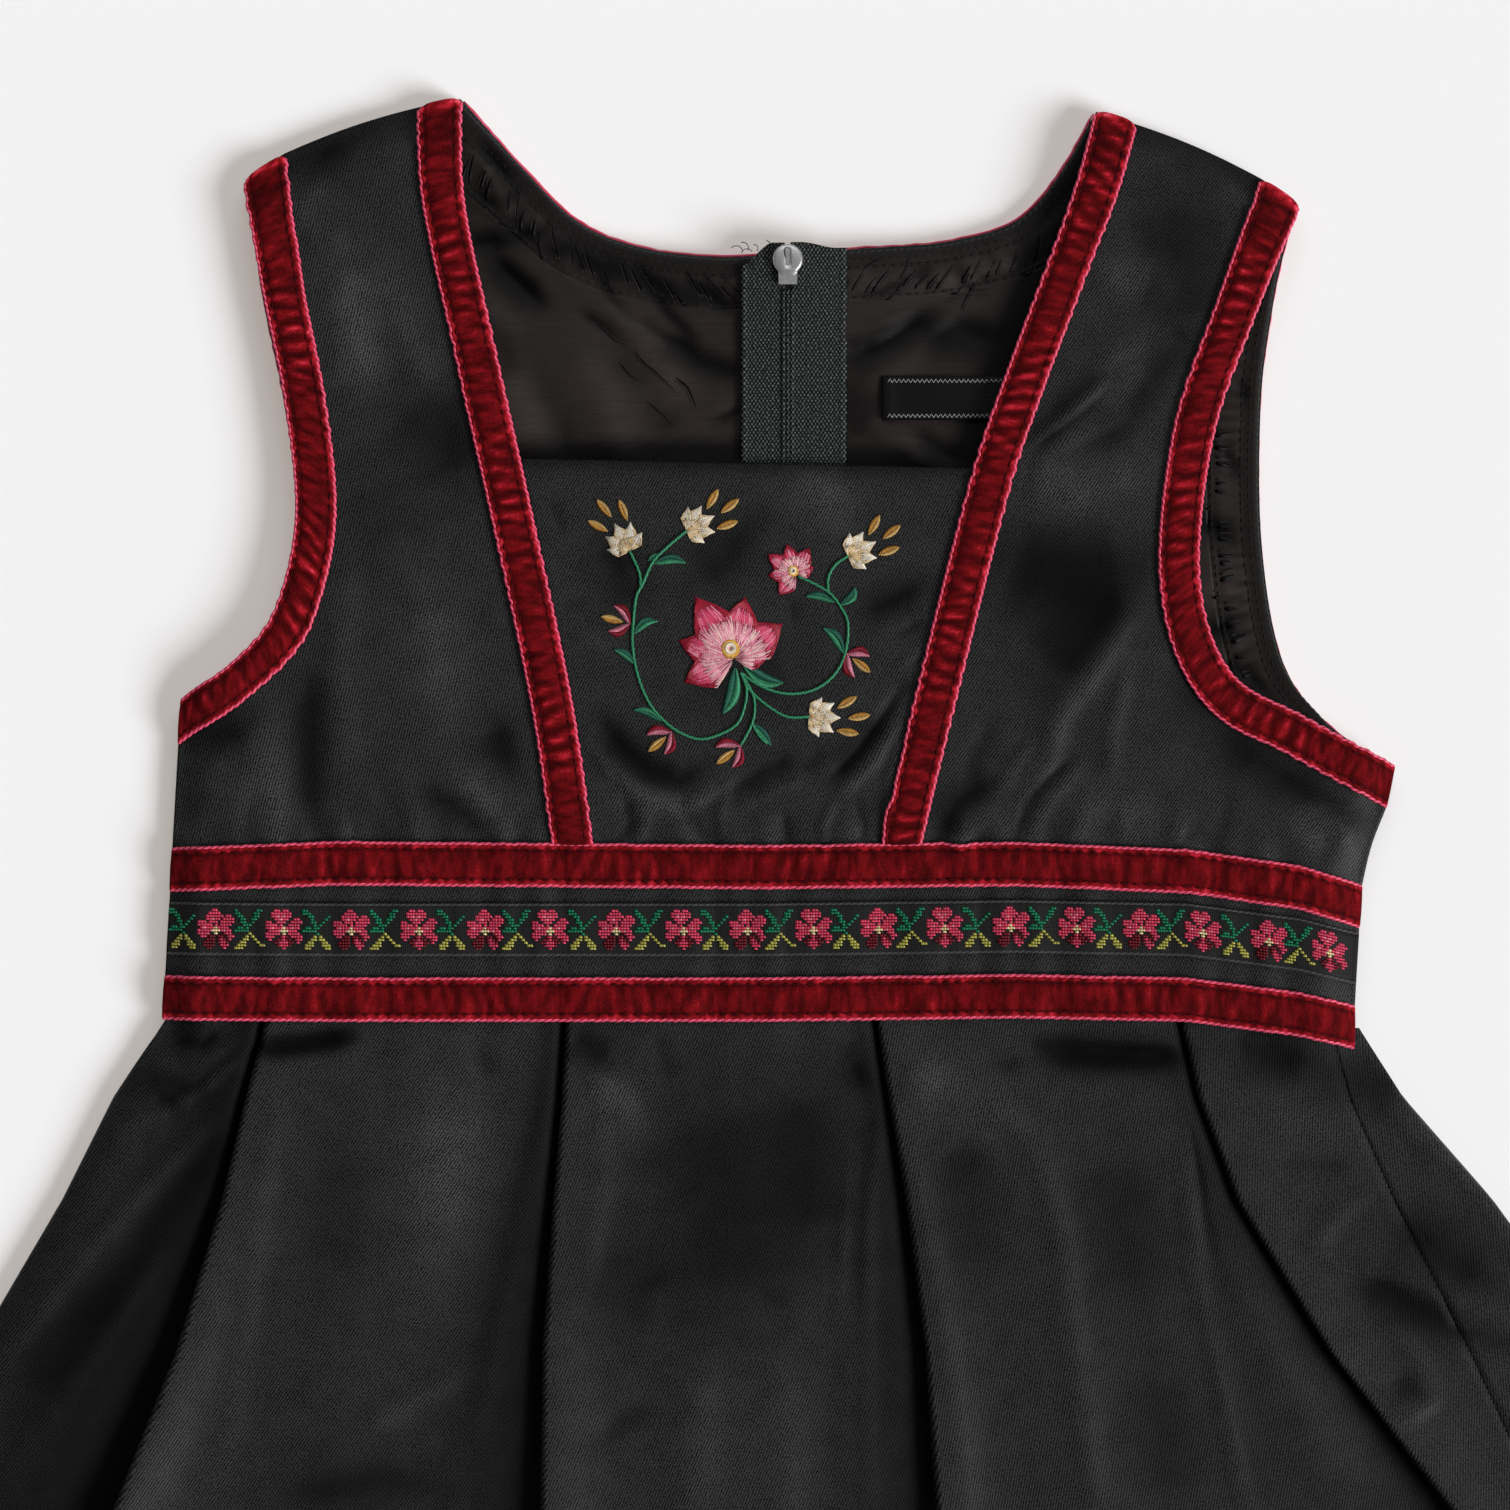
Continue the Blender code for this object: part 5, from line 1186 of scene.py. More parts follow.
def gathered(from_edge, lengths, amount, seed):
    """Pucker heights of lining between its two rows of stitches."""
    inside = np.clip(1 - np.abs(from_edge - sum(SEAM_ROWS) / 2) / 4.6, 0, 1)
    rim = np.clip(1 - from_edge / SEAM_ROWS[0], 0, 1)
    wave = pucker(lengths * 1.15, from_edge * 0.8, seed)
    sunk = sum(np.exp(-((from_edge - row) / 0.7) ** 2) for row in SEAM_ROWS)
    return amount * wave * ease(inside * 1.4) + 0.3 * amount * wave * rim - 0.22 * sunk


TUCK = {
    "neck": {"pitch": 2.5, "from": (8.6, 10.0), "length": (-6.0, -3.0), "slant": (-1.0, -0.6),
             "radius": 0.6},
    "arm": {"pitch": 3.3, "from": (9.4, 10.1), "length": (-4.4, -2.0), "slant": (-0.35, 0.35),
            "radius": 0.95}}
# crests of pinched folds on the lining, drawn as strands of painted shade and painted highlight
PINCHED = (((-27, 145.5), (-23, 142), (-20.5, 139)), ((-33.5, 154.5), (-31, 151.5), (-28.5, 150)),
           ((-29.7, 157.3), (-28.3, 155), (-24.6, 152), (-19.6, 147.1)),
           ((-20, 150.9), (-17.2, 148.6), (-15.2, 143.6)), ((-38.5, 163.5), (-34.5, 159.5), (-31, 158.5)),
           ((-62, 187.5), (-58, 186), (-55.5, 183)), ((23.5, 176), (27, 178.5), (30.5, 180)),
           ((31, 172), (34, 176.5), (35, 180.5)), ((47, 167), (50, 172.5), (51, 178)))


def on_net(points, rows, columns):
    """Points of a net at fractional rows and columns."""
    rows = np.clip(rows, 0, points.shape[0] - 1.001)
    columns = np.clip(columns, 0, points.shape[1] - 1.001)
    i, j = rows.astype(int), columns.astype(int)
    u, v = (rows - i)[..., None], (columns - j)[..., None]
    return ((points[i, j] * (1 - v) + points[i, j + 1] * v) * (1 - u)
            + (points[i + 1, j] * (1 - v) + points[i + 1, j + 1] * v) * u)


def folded(paths, side, radius):
    """Sharp little folds along paths, each drawn as a dark strand of painted shade for its hollow
    and a paler strand of painted highlight for its lit side beside it.
    """
    taper = np.interp(np.linspace(0, 1, paths.shape[1]), (0, 0.2, 0.6, 1), (0.35, 1.0, 0.75, 0.15))
    parts = []
    radius = radius * RNG.uniform(0.5, 1.0, (len(paths), 1))
    # a dark strand of painted shade, then a paler, thinner strand of painted highlight beside it
    for shift, tone, size in ((0.0, 0.03, 1.0), (1.7, 0.45, 0.5)):
        tones = grey(tone * RNG.uniform(0.7, 1.3, len(paths)))
        parts.append(bundle(paths + side * shift * radius[..., None], size * radius * taper, tones,
                            flat=0.45))
    return parts


def tucks(strip, lengths, cut):
    """Small folds across a gathered strip of lining, from its inner row of stitches outwards, drawn
    as strands of painted shade and painted highlight.
    """
    count = int(lengths[-1] / cut["pitch"]) - 4
    start = (2.0 + np.arange(count) + RNG.uniform(0.2, 0.8, count)) * cut["pitch"]
    first, reach, slant = (RNG.uniform(*cut[key], (count, 1)) for key in ("from", "length", "slant"))
    first[::6] += 3.5
    f = np.linspace(0, 1, 6)[None]
    t = start[:, None] + slant * f * reach
    rows = np.interp(t, lengths, np.arange(len(lengths)))
    columns = (first + reach * f) / LINING_STRIP * (strip.shape[1] - 1)
    paths = on_net(strip, rows, columns) + [0, 0, THIN * 0.4]
    along_strip = on_net(strip, rows + 0.6, columns) - on_net(strip, rows, columns)
    return folded(paths, unit(along_strip), cut["radius"])


def lining(mats):
    """The lining of the back, gathered along the neckline and the right armhole."""
    level = back_layer(LINING_Z)
    surface = lambda x, y: level(x, y) + ridges(LINING_CREASES, x, y)
    for k, side in enumerate(SIGN):
        nets, seams = [], []
        for key, flat in lining_quarter(side, 96, 72, 14).items():
            xyz, grain, tone = net(flat, surface, 0.0, LINING_SHADES, LINING_CREASES)
            if key != "body":
                turn = 1 if key == "arm" else -1        # the neck's columns run towards its edge
                strip = xyz[:, ::turn]
                t = distances(flat[:, ::turn][:, 0])[:, None]
                across = np.linspace(0, LINING_STRIP, flat.shape[1])[None]
                fade = ease(np.minimum(t, t[-1] - t) / GATHER_FADE)
                z = gathered(across, t, GATHER_HEIGHT, 3.1 + k) * fade
                for row in (OVERLOCK_ROW,) + SEAM_ROWS:
                    column = int(round(row / LINING_STRIP * (flat.shape[1] - 1)))
                    line = strip[4:-4, column] + [0, 0, THIN / 2 - 0.12]
                    seams.append(dashes(line, 1, **LINING_STITCH))
                strip = raised(strip, z)
                xyz = strip[:, ::turn]
                # painted shade in the puckers' hollows and a little painted highlight on their crests,
                # and darker towards the strip's edge
                shade = np.exp(1.5 * np.clip(z, -0.5, 0.2) - 1.1 * np.exp(-across / 2.5))
                tone = tone * shade[:, ::turn, None]
                seams += tucks(strip, t[:, 0], TUCK[key])
                seams.append(cord(strip[2:-2, 0], 0.5, 1.7, slot=1))
            # painted shade in the hollows of the lining's creases
            hollow = np.minimum(ridges(LINING_CREASES, flat[..., 0], flat[..., 1]), 0)
            nets.append((xyz, grain, tone * np.exp(1.7 * hollow)[..., None]))
        for line in PINCHED:
            if (line[0][0] < ZIP_X) == (side == "left"):
                path = resampled(np.array(line), 9)
                path = np.column_stack([path, surface(*path.T) + THIN * 0.4])[None]
                seams += folded(path, frames(path)[0], 0.42)
        make_piece("cloth_lining_" + side, [shell(nets, THIN * 0.8)] + seams, mats,
                   "back_lining_" + side)


# ---------------------------------------------------------------- skirt
SHOWN_SHARE = 0.345     # share of the skirt's length that is finely meshed, from the waist down
WELL_WIDTH = ((3.0, 24.0), (0.8, 13.0), (0.8, 9.0), (0.8, 5.0))    # width of the painted shade in each pleat's well, at the waist and lower down
EDGE_LIFT = (5.0, 3.5, 3.0, 2.4)
EDGE_REACH = 11.0
DIVE = (8.0, 2.2)       # how late the cloth dives under the next pleat, at the waist and lower down
SIDE_ROLL = ((0.5, 0.0), (0.9, 0.35), (1.6, 0.65), (2.5, 0.9), (3.8, 1.3), (5.5, 1.7), (7.5, 1.93),
             (9.5, 2.0))    # x and layer of the front where it rolls over the left side


def line_x(name, y):
    return looked_up(SKIRT_LINES[::-1], y, LINE_NAMES.index(name) + 1)


def shown_part(share):
    """0 at the waist, 1 from the place where the finely meshed rows end."""
    return np.clip(share / SHOWN_SHARE, 0, 1)


def spread(columns, share):
    """Each value of the columns as an array with the skirt's rows."""
    return [np.stack([np.broadcast_to(value, share.shape) for value in values], -1)
            for values in zip(*columns)]


def row_y(share, x):
    """Y on a row of the skirt, a share of the way from the waist seam to the curved hem."""
    edge_y = share * (HEM_Y + HEM_RISE)
    left, right = line_x("left", edge_y), line_x("right", edge_y)
    across = (2 * x - left - right) / (right - left)
    top = waist_seam(x) + RIBBON_W / 2 - GAP
    return top + share * (HEM_Y + HEM_RISE * across ** 2 - top)


def line_at(name, share):
    x = line_x(name, share * HEM_Y)
    for _ in range(5):
        x = line_x(name, row_y(share, x))
    return x


def turn_columns(x_end, level, direction, steps):
    """A pressed fold from one layer up to the next; x_end is its outermost point."""
    radius = PLY / 2
    middle = x_end - direction * (CLOTH / 2 + radius)
    return [(middle + direction * radius * math.cos(a), level + 0.5 + 0.5 * math.sin(a))
            for a in np.linspace(-math.pi / 2, math.pi / 2, steps + 1)]


def drop_columns(x, high, low, steps):
    """The soft roll from one layer down to another, from 4 mm before x to 3 mm beyond it."""
    return [(x - 4.0 + 7.0 * f, high + (low - high) * float(ease(f * 1.05 - 0.02)))
            for f in np.linspace(0, 1, steps)]


def dive_columns(x, edge, share, steps):
    """From the soft line x down under the next pleat's edge, late and steep by the waist."""
    power = DIVE[0] + (DIVE[1] - DIVE[0]) * shown_part(share)
    return [(x - 4.0 + (edge - x + 3.4) * f, 2.0 - 2.0 * f ** power)
            for f in np.linspace(0, 1, steps) ** 0.8]


def flat_columns(x_from, x_to, level, steps):
    return [(x_from + (x_to - x_from) * f, level) for f in np.linspace(0, 1, steps + 2)[1:-1]]


def front_columns(share):
    """Columns (x, layer, panel) across the front skirt at all rows at once."""
    left = line_at("left", share)
    columns = [(left + dx, layer, 0) for dx, layer in SIDE_ROLL]
    for panel, pleat in enumerate(FRONT_PLEATS):
        edge = line_at(pleat["edge"], share)
        soft = np.minimum(line_at(pleat["soft"], share) + 1.0, edge - 4.5)
        shown = flat_columns(columns[-1][0], soft - 4.0, 2.0, 32)
        shown += dive_columns(soft, edge, share, 13)
        hidden = turn_columns(edge + pleat["depth"], 0.0, 1, 6)
        columns += [(x, layer, panel) for x, layer in shown + hidden]
        columns += [(x, layer, panel + 1) for x, layer in turn_columns(edge, 1.0, -1, 8)]
        columns += [(edge + dx, 2.0, panel + 1) for dx in (1.6, 2.8, 4.0)]
    seam = line_at("seam", share) - GAP / 2
    last = flat_columns(columns[-1][0], seam, 2.0, 12)
    last.append((seam, 2.0))
    return columns + [(x, layer, len(FRONT_PLEATS)) for x, layer in last]


def waist_gathers(x, y):
    """Small unpressed gathers just under the waist seam."""
    below = np.clip(-(y - waist_seam(x) - GATHERS["from"]), 0, 60)
    wave = np.sin(x / 2.35 + 1.4 * np.sin(x / 11.0)) + 0.6 * np.sin(x / 4.3 + 1.0)
    return GATHERS["height"] * wave * np.exp(-(below / GATHERS["reach"]) ** 2)


def skirt_front_z(x, y, layer):
    """Height of a layer of the front skirt; by the waist its sides roll down like the band's."""
    shown = np.maximum(layer - 1.0, 0.0)
    flat = SKIRT_LOW_Z + PLY * layer + rise(x, y)
    flat = flat + (ridges(FOLDS, x, y) + ridges(SKIRT_CREASES, x, y) + waist_gathers(x, y)) * shown
    droop = (FRONT_Z + WAIST_RAISE - EDGE_Z) * (1 - side_share(x, y))
    return flat - droop * rise(x, y) * layer / 2


def back_columns(side, share):
    """Columns (x, layer) across half of the back skirt: layer 0 is outermost, on the ground."""
    y_centre = row_y(share, np.full(share.shape, ZIP_X))
    slot = np.where(y_centre > ZIP_END - 20, ZIP_SLOT, GAP / 2)
    columns = [(line_at("left", share) + 0.6, 0.0)] if side == "left" else [(ZIP_X + slot, 0.0)]
    for pleat in BACK_PLEATS[side]:
        fold = pleat["fold"][0] + (pleat["fold"][1] - pleat["fold"][0]) * share
        soft = pleat["soft"][0] + (pleat["soft"][1] - pleat["soft"][0]) * share
        columns += flat_columns(columns[-1][0], fold - 3.0, 0.0, 14)
        columns += turn_columns(fold, 0.0, 1, 4) + turn_columns(fold - BACK_DEPTH, 1.0, -1, 4)
        columns += drop_columns(soft, 2.0, 0.0, 6)
    last = ZIP_X - slot if side == "left" else line_at("right", share) - 5.0
    return columns + flat_columns(columns[-1][0], last, 0.0, 14) + [(last, 0.0)]


def skirt_back_z(x, y, layer):
    return SKIRT_BACK_Z + PLY * layer + SKIRT_WAIST_RISE * rise(x, y)


def wrap_columns(share):
    """The back's right edge, turned over to the front as far as the side seam: (x, y, z)."""
    right, seam = line_at("right", share), line_at("seam", share) + GAP / 2
    columns = []
    for angle in np.linspace(-math.pi / 2, math.pi / 2, 12)[1:]:
        x = right - 3.0 + 2.4 * math.cos(angle)
        y = row_y(share, x)
        low, high = skirt_back_z(x, y, 0.0), skirt_front_z(x, y, 2.0)
        columns.append((x, y, (low + high) / 2 + (high - low) / 2 * math.sin(angle)))
    for f in np.linspace(0, 1, 14)[1:]:
        x = right - 3.0 + (seam - right + 3.0) * f
        y = row_y(share, x)
        columns.append((x, y, skirt_front_z(x, y, 2.0)))
    return columns


def well_shade(share, x):
    """Painted shade and shadow inside the pleats, left of each pressed edge and wider towards the
    hem; it also darkens the slope from the soft line down to each edge.
    """
    total = np.zeros(x.shape)
    for pleat, (narrow, wide) in zip(FRONT_PLEATS, WELL_WIDTH):
        edge = line_at(pleat["edge"], share)
        gap = edge[:, None] - x
        width = narrow + (wide - narrow) * shown_part(share) ** 0.7
        slope = edge - line_at(pleat["soft"], share) + 5.0
        dark = 2.6 * np.exp(-(np.abs(gap) / width[:, None]) ** 1.1)
        dark += 0.4 * ease(1.3 - np.abs(gap) / slope[:, None])
        total -= np.where(gap > 0.4, dark, 0.0)
    return total


def edge_lift(share, x, panel):
    """How far each pressed edge stands off the pleat below, more towards the hem."""
    total = np.zeros(x.shape)
    for k, pleat in enumerate(FRONT_PLEATS):
        gap = (x - line_at(pleat["edge"], share)[:, None]) / EDGE_REACH
        total += EDGE_LIFT[k] * (panel == k + 1) * np.exp(-gap ** 2)
    return total * (shown_part(share)[:, None] ** 0.8)


def skirt_rows(fine, coarse):
    """Shares of the skirt's length for its rows, closer together where the photo shows them."""
    return np.concatenate([np.linspace(0, SHOWN_SHARE, fine), np.linspace(SHOWN_SHARE, 1, coarse)[1:]])


def skirt(mat):
    """The pleated front and the two halves of the back."""
    share = skirt_rows(98, 31)
    x, layer, panel = spread(front_columns(share), share)
    y = row_y(share[:, None], x)
    z = skirt_front_z(x, y, layer) + edge_lift(share, x, panel) * np.maximum(layer - 1.0, 0.0)
    grain = leaning(x, y, np.array(PANEL_TILT)[panel])
    tone = shaded(SKIRT_SHADES, SKIRT_CREASES, x, y, well_shade(share, x))
    make_piece("cloth_skirt_front", [shell([(np.dstack([x, y, z]), grain, tone)], CLOTH)], [mat],
               "skirt_front")
    share = skirt_rows(44, 23)
    for side, sign in SIGN.items():
        x, layer = spread(back_columns(side, share), share)
        y = row_y(share[:, None], x)
        xyz = np.dstack([x, y, skirt_back_z(x, y, layer)])
        if side == "right":
            xyz = np.concatenate([xyz, np.dstack(spread(wrap_columns(share), share))], 1)
        x, y = xyz[..., 0], xyz[..., 1]
        tone = shaded(SKIRT_SHADES, SKIRT_CREASES, x, y)
        make_piece("cloth_skirt_back_" + side,
                   [shell([(xyz, leaning(x, y, -sign * WRAP_TILT), tone)], CLOTH)], [mat],
                   "skirt_back_" + side)


# ---------------------------------------------------------------- woven ribbon
FLOWER_X = (-143.7, -128.1, -112.1, -96.3, -80.4, -64.9, -49.6, -34.1, -18.3, -3.3, 12.2, 27.5, 43, 58.5,
            74, 89.1, 103.6, 119.1, 133.5)
CELL_W, CELL_H, CELL_REACH = 0.65, 0.68, 0.364       # a woven cell, and how far its floats reach
TINTS = {"P": (0.7, 0.06, 0.13), "W": (0.85, 0.24, 0.32), "D": (0.16, 0.004, 0.014),
         "C": (0.8, 0.66, 0.36), "G": (0.006, 0.2, 0.095), "L": (0.46, 0.44, 0.09)}
FLOWERS = (
    ("...PP.PP.....",
     "..PPPPPPP....",
     "..PPWPWPP....",
     "...PPWPP..PP.",
     "PP..PPP..PPPP",
     "PPPP.P..PPPP.",
     "PPWPPPCPPWPP.",
     ".PPPPCCCPPP..",
     "PPPPP.C.PPPP.",
     "PPP..DPD.PPPP",
     ".P..DDPDD.DPP",
     "...DDPPPDD.P.",
     "....DPPPD....",
     "......P......"),
    (".....PP......",
     "....PPPP.....",
     "...PPPPPP.PP.",
     "...PPWPP.PPPP",
     "PPP.PPP.PPPPP",
     "PPPPP.P.PPPP.",
     ".PWPPPCPPPP..",
     "PPPPPCCCPWPP.",
     "PPPP..C..DPP.",
     ".PP.DD.DD.DPP",
     "...DDD.DPD.P.",
     "..DDDD.DPPD..",
     "..DDDD..PPP..",
     "...DD....P..."))
SPRIGS = (
    ("GG.........",
     "GGG........",
     "..GG.....G.",
     "...G....G..",
     "...GG..G...",
     "....G.G....",
     ".GG.GG.....",
     "GGGGG......",
     ".....G.....",
     "....L.L....",
     "...LL.LL...",
     "..LL...LL..",
     ".LLL...LLL.",
     ".LL.....LL."),
    ("G.......GG.",
     "GG.....GG..",
     ".GG....GG..",
     "..GG..GG...",
     "..GG..G....",
     "...GGG.....",
     ".GG.G......",
     "GGGGG......",
     ".....L.....",
     "....L.L....",
     "...LL..L...",
     "..LL....L..",
     ".LLL.....LL",
     "LLL........"))


def charted(chart, x_middle):
    """Places and tints of the woven cells of one charted motif."""
    rows, columns = len(chart), len(chart[0])
    for i, line in enumerate(chart):
        for j, letter in enumerate(line):
            if letter in TINTS:
                yield x_middle + (j - columns // 2) * CELL_W, ((rows - 1) / 2 - i) * CELL_H, TINTS[letter]


def woven_cells(middles, surface, out, facing):
    """Raised weft floats of the charted flowers and sprigs, two colourways by turns."""
    cells = []
    for k, x in enumerate(middles):
        cells += list(charted(FLOWERS[k % 2], x))
        if k + 1 < len(middles):
            cells += list(charted(SPRIGS[k % 2], (x + middles[k + 1]) / 2))
    cells = [c for c in cells if side_x(15.0, 1) + 0.8 < c[0] < side_x(15.0, 2) - 0.8]
    x = np.array([c[0] for c in cells])
    y = waist_seam(x) + sum(JACQUARD) / 2 + np.array([c[1] for c in cells])
    tints = np.array([c[2] for c in cells]) * RNG.uniform(0.8, 1.2, (len(cells), 1))
    x = x + RNG.uniform(-0.04, 0.04, len(x))
    shape = ((-1, -0.12), (-0.4, 0.08), (0.4, 0.08), (1, -0.12)) if facing > 0 else ((-1, 0), (1, 0))
    across, height = np.array(shape).T
    px, py = x[:, None] + CELL_REACH * across, np.repeat(y[:, None], len(shape), 1)
    pz = surface(px, py) + facing * (out + height)
    return bundle(np.stack([px, py, pz], -1), CELL_H * 0.55, tints, sides=3, flat=0.6)


def jacquard(mats):
    """The woven ribbon round the waist: ground, edge cords and raised figures."""
    places = [("front", (), front_z, (CLOTH + THIN) / 2 + 0.12, 1)]
    places += [("back_" + side, ends, back_layer(RIBBON_BACK_Z), 0.0, -1)
               for side, ends in HALVES.items()]
    for place, ends, surface, level, facing in places:
        front = facing > 0
        rows, columns, wall, turns = (400, 9, 0.6, 4) if front else (100, 4, 0.7, 1)
        low, high = band_edges(*BAND["jacquard"], *ends)
        flat = ruled(resampled(low, rows), resampled(high, rows), np.linspace(0, 1, columns))
        xyz, grain, tone = net(flat, surface)
        ripple = 0.10 * pucker(flat[..., 0], flat[..., 1] * 0.2, 8.0) if front else 0.0
        xyz = raised(xyz, level + ripple + 0 * xyz[..., 0])
        parts = [shell([(xyz, grain, tone)], THIN * wall)]
        for column in (0, -1):
            line = xyz[:, column] + [0, 0, facing * 0.12]
            parts.append(cord(line, 0.42, 1.5, per_turn=turns, slot=1))
        make_piece("woven_ribbon_" + place, parts, mats[:2], "jacquard_ribbon_" + place)
        middles = [x for x in FLOWER_X if front or low[0, 0] + 5 < x < low[-1, 0] - 5]
        figures = woven_cells(middles, surface, level + THIN * 0.3 + 0.06, facing)
        make_piece("woven_figures_" + place, [figures], mats[2:])


# ---------------------------------------------------------------- embroidery
PINKS = ((0.28, 0.004, 0.022), (0.56, 0.05, 0.12), (0.74, 0.24, 0.34), (0.8, 0.5, 0.48))
PALE, GOLD, GREEN, TEAL = (0.74, 0.64, 0.5), (0.7, 0.38, 0.07), (0.01, 0.15, 0.06), (0.02, 0.15, 0.1)
LIGHT_GREEN = (0.05, 0.3, 0.15)
STAMEN = ((0.62, 0.3, 0.05), (0.72, 0.46, 0.16))
FLOSS_R, LEAF_PITCH = 0.19, 0.3
STEMS = (
    ((-4.9, 81.5), (-3.5, 77.5), (-4, 73.1), (-5.9, 69.1), (-10.6, 66.5), (-15, 65.8),
     (-20.2, 67.9), (-24.7, 71.9), (-27.5, 76.4), (-29.4, 82), (-30.3, 87.9), (-30.1, 93.5),
     (-29.4, 99.2), (-28, 102), (-25.6, 107.2), (-22.3, 110.7), (-17.6, 114.7)),
    ((-28.4, 101.5), (-28.7, 104.8), (-31, 110)),
    ((-4.9, 81.5), (-1.9, 79.2), (2.6, 77.1), (7.3, 76.4), (12.2, 77.3), (16.2, 79.9), (19, 83.9),
     (20.2, 88.8), (20.2, 93.5), (18.6, 96.8), (16.2, 99.9), (12.9, 102), (8.5, 104.1)),
    ((15.7, 100.3), (15.7, 103.6), (17.4, 106.7), (20.4, 108.8)),
    ((-4, 79.4), (-2.6, 77.1), (1.4, 73.6), (6.1, 71), (11.3, 71)),
    ((-4.2, 80.4), (-1.9, 75.9), (-1.6, 71.9), (-2.6, 68.4), (-4.9, 64.2)),
    ((-2.3, 69.6), (-0.5, 66.5), (1.4, 64.6)))
LEAVES = (  # base, tip, half width, bend
    ((-25.2, 107.1), (-17.8, 107.1), 1.1, 1), ((-26.6, 107.6), (-24.6, 109.2), 0.6, 0),
    ((-30.1, 90.5), (-24.3, 93.4), 1.1, 1.2), ((-29.5, 83.3), (-34.6, 86.7), 1, -0.6),
    ((-23.6, 70), (-30, 72.5), 1, -0.8), ((17.3, 97.9), (10.4, 99.2), 1, -0.8),
    ((18.6, 97.2), (22, 101.3), 1.1, -0.8), ((19.5, 85.8), (14.6, 91.8), 1.3, -0.9),
    ((-2.3, 69.6), (2.2, 64.2), 0.9, 0.4), ((-6.1, 82.6), (-9, 71.8), 1.7, 1),
    ((-4.3, 83.1), (5.1, 79), 1.7, -1.3))
BIG_FLOWER = {"base": (-6.4, 84.6), "petals": (  # heading in degrees, length, half width
    (205, 13.2, 4.4), (162, 14, 4.2), (122, 17.6, 5.2), (80, 15, 4.8), (36, 14.2, 5),
    (8, 8.6, 3.4))}
SMALL_FLOWER = {"base": (8, 104.6), "petals": (
    (232, 6.4, 2.2), (184, 6.6, 2), (145, 8.2, 2.2), (106, 7.4, 2.1), (62, 7, 2.2),
    (20, 4.6, 1.8))}
WHITE_FLOWERS = (((-31, 110), 118), ((-17.6, 114.9), 26), ((20.4, 108.8), 26), ((11.3, 71), -3))
WHITE_PETALS = ((-62, 5.4, 1.5), (60, 5.6, 1.5), (-30, 7, 1.8), (32, 6.9, 1.8),
                (1, 7.6, 1.9))        # turn, length, half width
STAMENS = ((24, 9.4, 34), (3, 11.6, 12), (-19, 9.6, -6))       # turn, distance, own turn
BUDS = (((-30.8, 92.8), 166), ((-21.1, 67.4), 220), ((-4.9, 64.2), 217), ((20, 85.8), -38))


def heading(angle):
    return np.array([math.cos(math.radians(angle)), math.sin(math.radians(angle))])


def on_plastron(paths, lift):
    """Flat thread paths (n, k, 2) set on the cloth, arched by lift per point."""
    x, y = paths[..., 0], paths[..., 1]
    z = front_z(x, y) + CLOTH / 2 + np.asarray(lift)
    return np.dstack([x, y, z]) if paths.ndim == 3 else np.column_stack([x, y, z])


def stitched(paths, tones, height=0.2, radius=FLOSS_R):
    """Satin stitches along short flat paths (n, 4, 2)."""
    arch = height + 0.16 * np.array([-1.6, 0.7, 0.7, -1.6])
    taper = radius * np.array([0.45, 1.0, 1.0, 0.45])
    tones = np.array(tones) * RNG.uniform(0.8, 1.15, (len(tones), 1))
    return bundle(on_plastron(paths, arch), taper, tones, sides=4)


def petal_path(base, angle, length, half, v, u, blunt):
    """Points of a petal: u runs from base to tip and v from edge to edge."""
    run = heading(angle)
    side = np.array([-run[1], run[0]])
    spread = np.where(u < 0.55, (u / 0.55) ** 0.85, np.clip((1 - u) / 0.45, 0, 1) ** blunt)
    reach = u * (1 - 0.10 * np.abs(v) ** 2)
    return (np.array(base) + reach[..., None] * length * run
            + (v * half * spread)[..., None] * side)


def petal(base, angle, length, half, bands, blunt=0.7, rim=None):
    """Long-and-short stitches in bands from the tip to the base; rim is the colour of its sides."""
    parts = []
    for level, (u_low, u_high, count, colours, jitter) in enumerate(bands):
        v = np.repeat(np.linspace(-1, 1, count)[:, None], 4, 1)
        low = u_low + RNG.uniform(-jitter, jitter, count)
        high = u_high + RNG.uniform(-jitter, jitter, count) * (u_high < 0.98)
        u = low[:, None] + (high - low)[:, None] * np.linspace(0, 1, 4)[None]
        paths = petal_path(base, angle, length, half, v, np.clip(u, 0, 1), blunt)
        tones = [colours[int(RNG.integers(len(colours)))] for _ in range(count)]
        if rim and level < 2:
            tones = [rim if abs(side) > 0.66 else tone for side, tone in zip(v[:, 0], tones)]
        parts.append(stitched(paths, tones, 0.16 + 0.07 * level))
    return parts


def bloom(flower, scale):
    """A pink flower of overlapping pointed petals round a cream and gold heart."""
    rim, rose, light, cream = PINKS
    parts = []
    for angle, length, half in flower["petals"]:
        count = int(half * 11 * scale)
        bands = ((0.7, 1.0, count, (rim,), 0.05), (0.4, 0.9, count, (rose, rose, light), 0.07),
                 (0.12, 0.66, int(count * 0.7), (light, light, cream), 0.1))
        parts += petal(flower["base"], angle, length, half, bands, 0.62, rim)
    base = np.array(flower["base"])
    middle = base + (heading(110.0) * 2.6 if scale == 1 else heading(130.0) * 0.9)
    for radius, tone, count, lift in ((2.5, GOLD, 46, 0.42), (1.7, PALE, 34, 0.5)):
        angles = np.linspace(0, 2 * math.pi, int(count * scale), endpoint=False)
        rays = np.stack([np.cos(angles), np.sin(angles)], -1) * radius * (0.55 if scale < 1 else 1.0)
        steps = np.linspace(0.25, 1, 4)[None, :, None]
        parts.append(stitched(middle + rays[:, None] * steps, [tone] * len(angles), lift))
    return parts


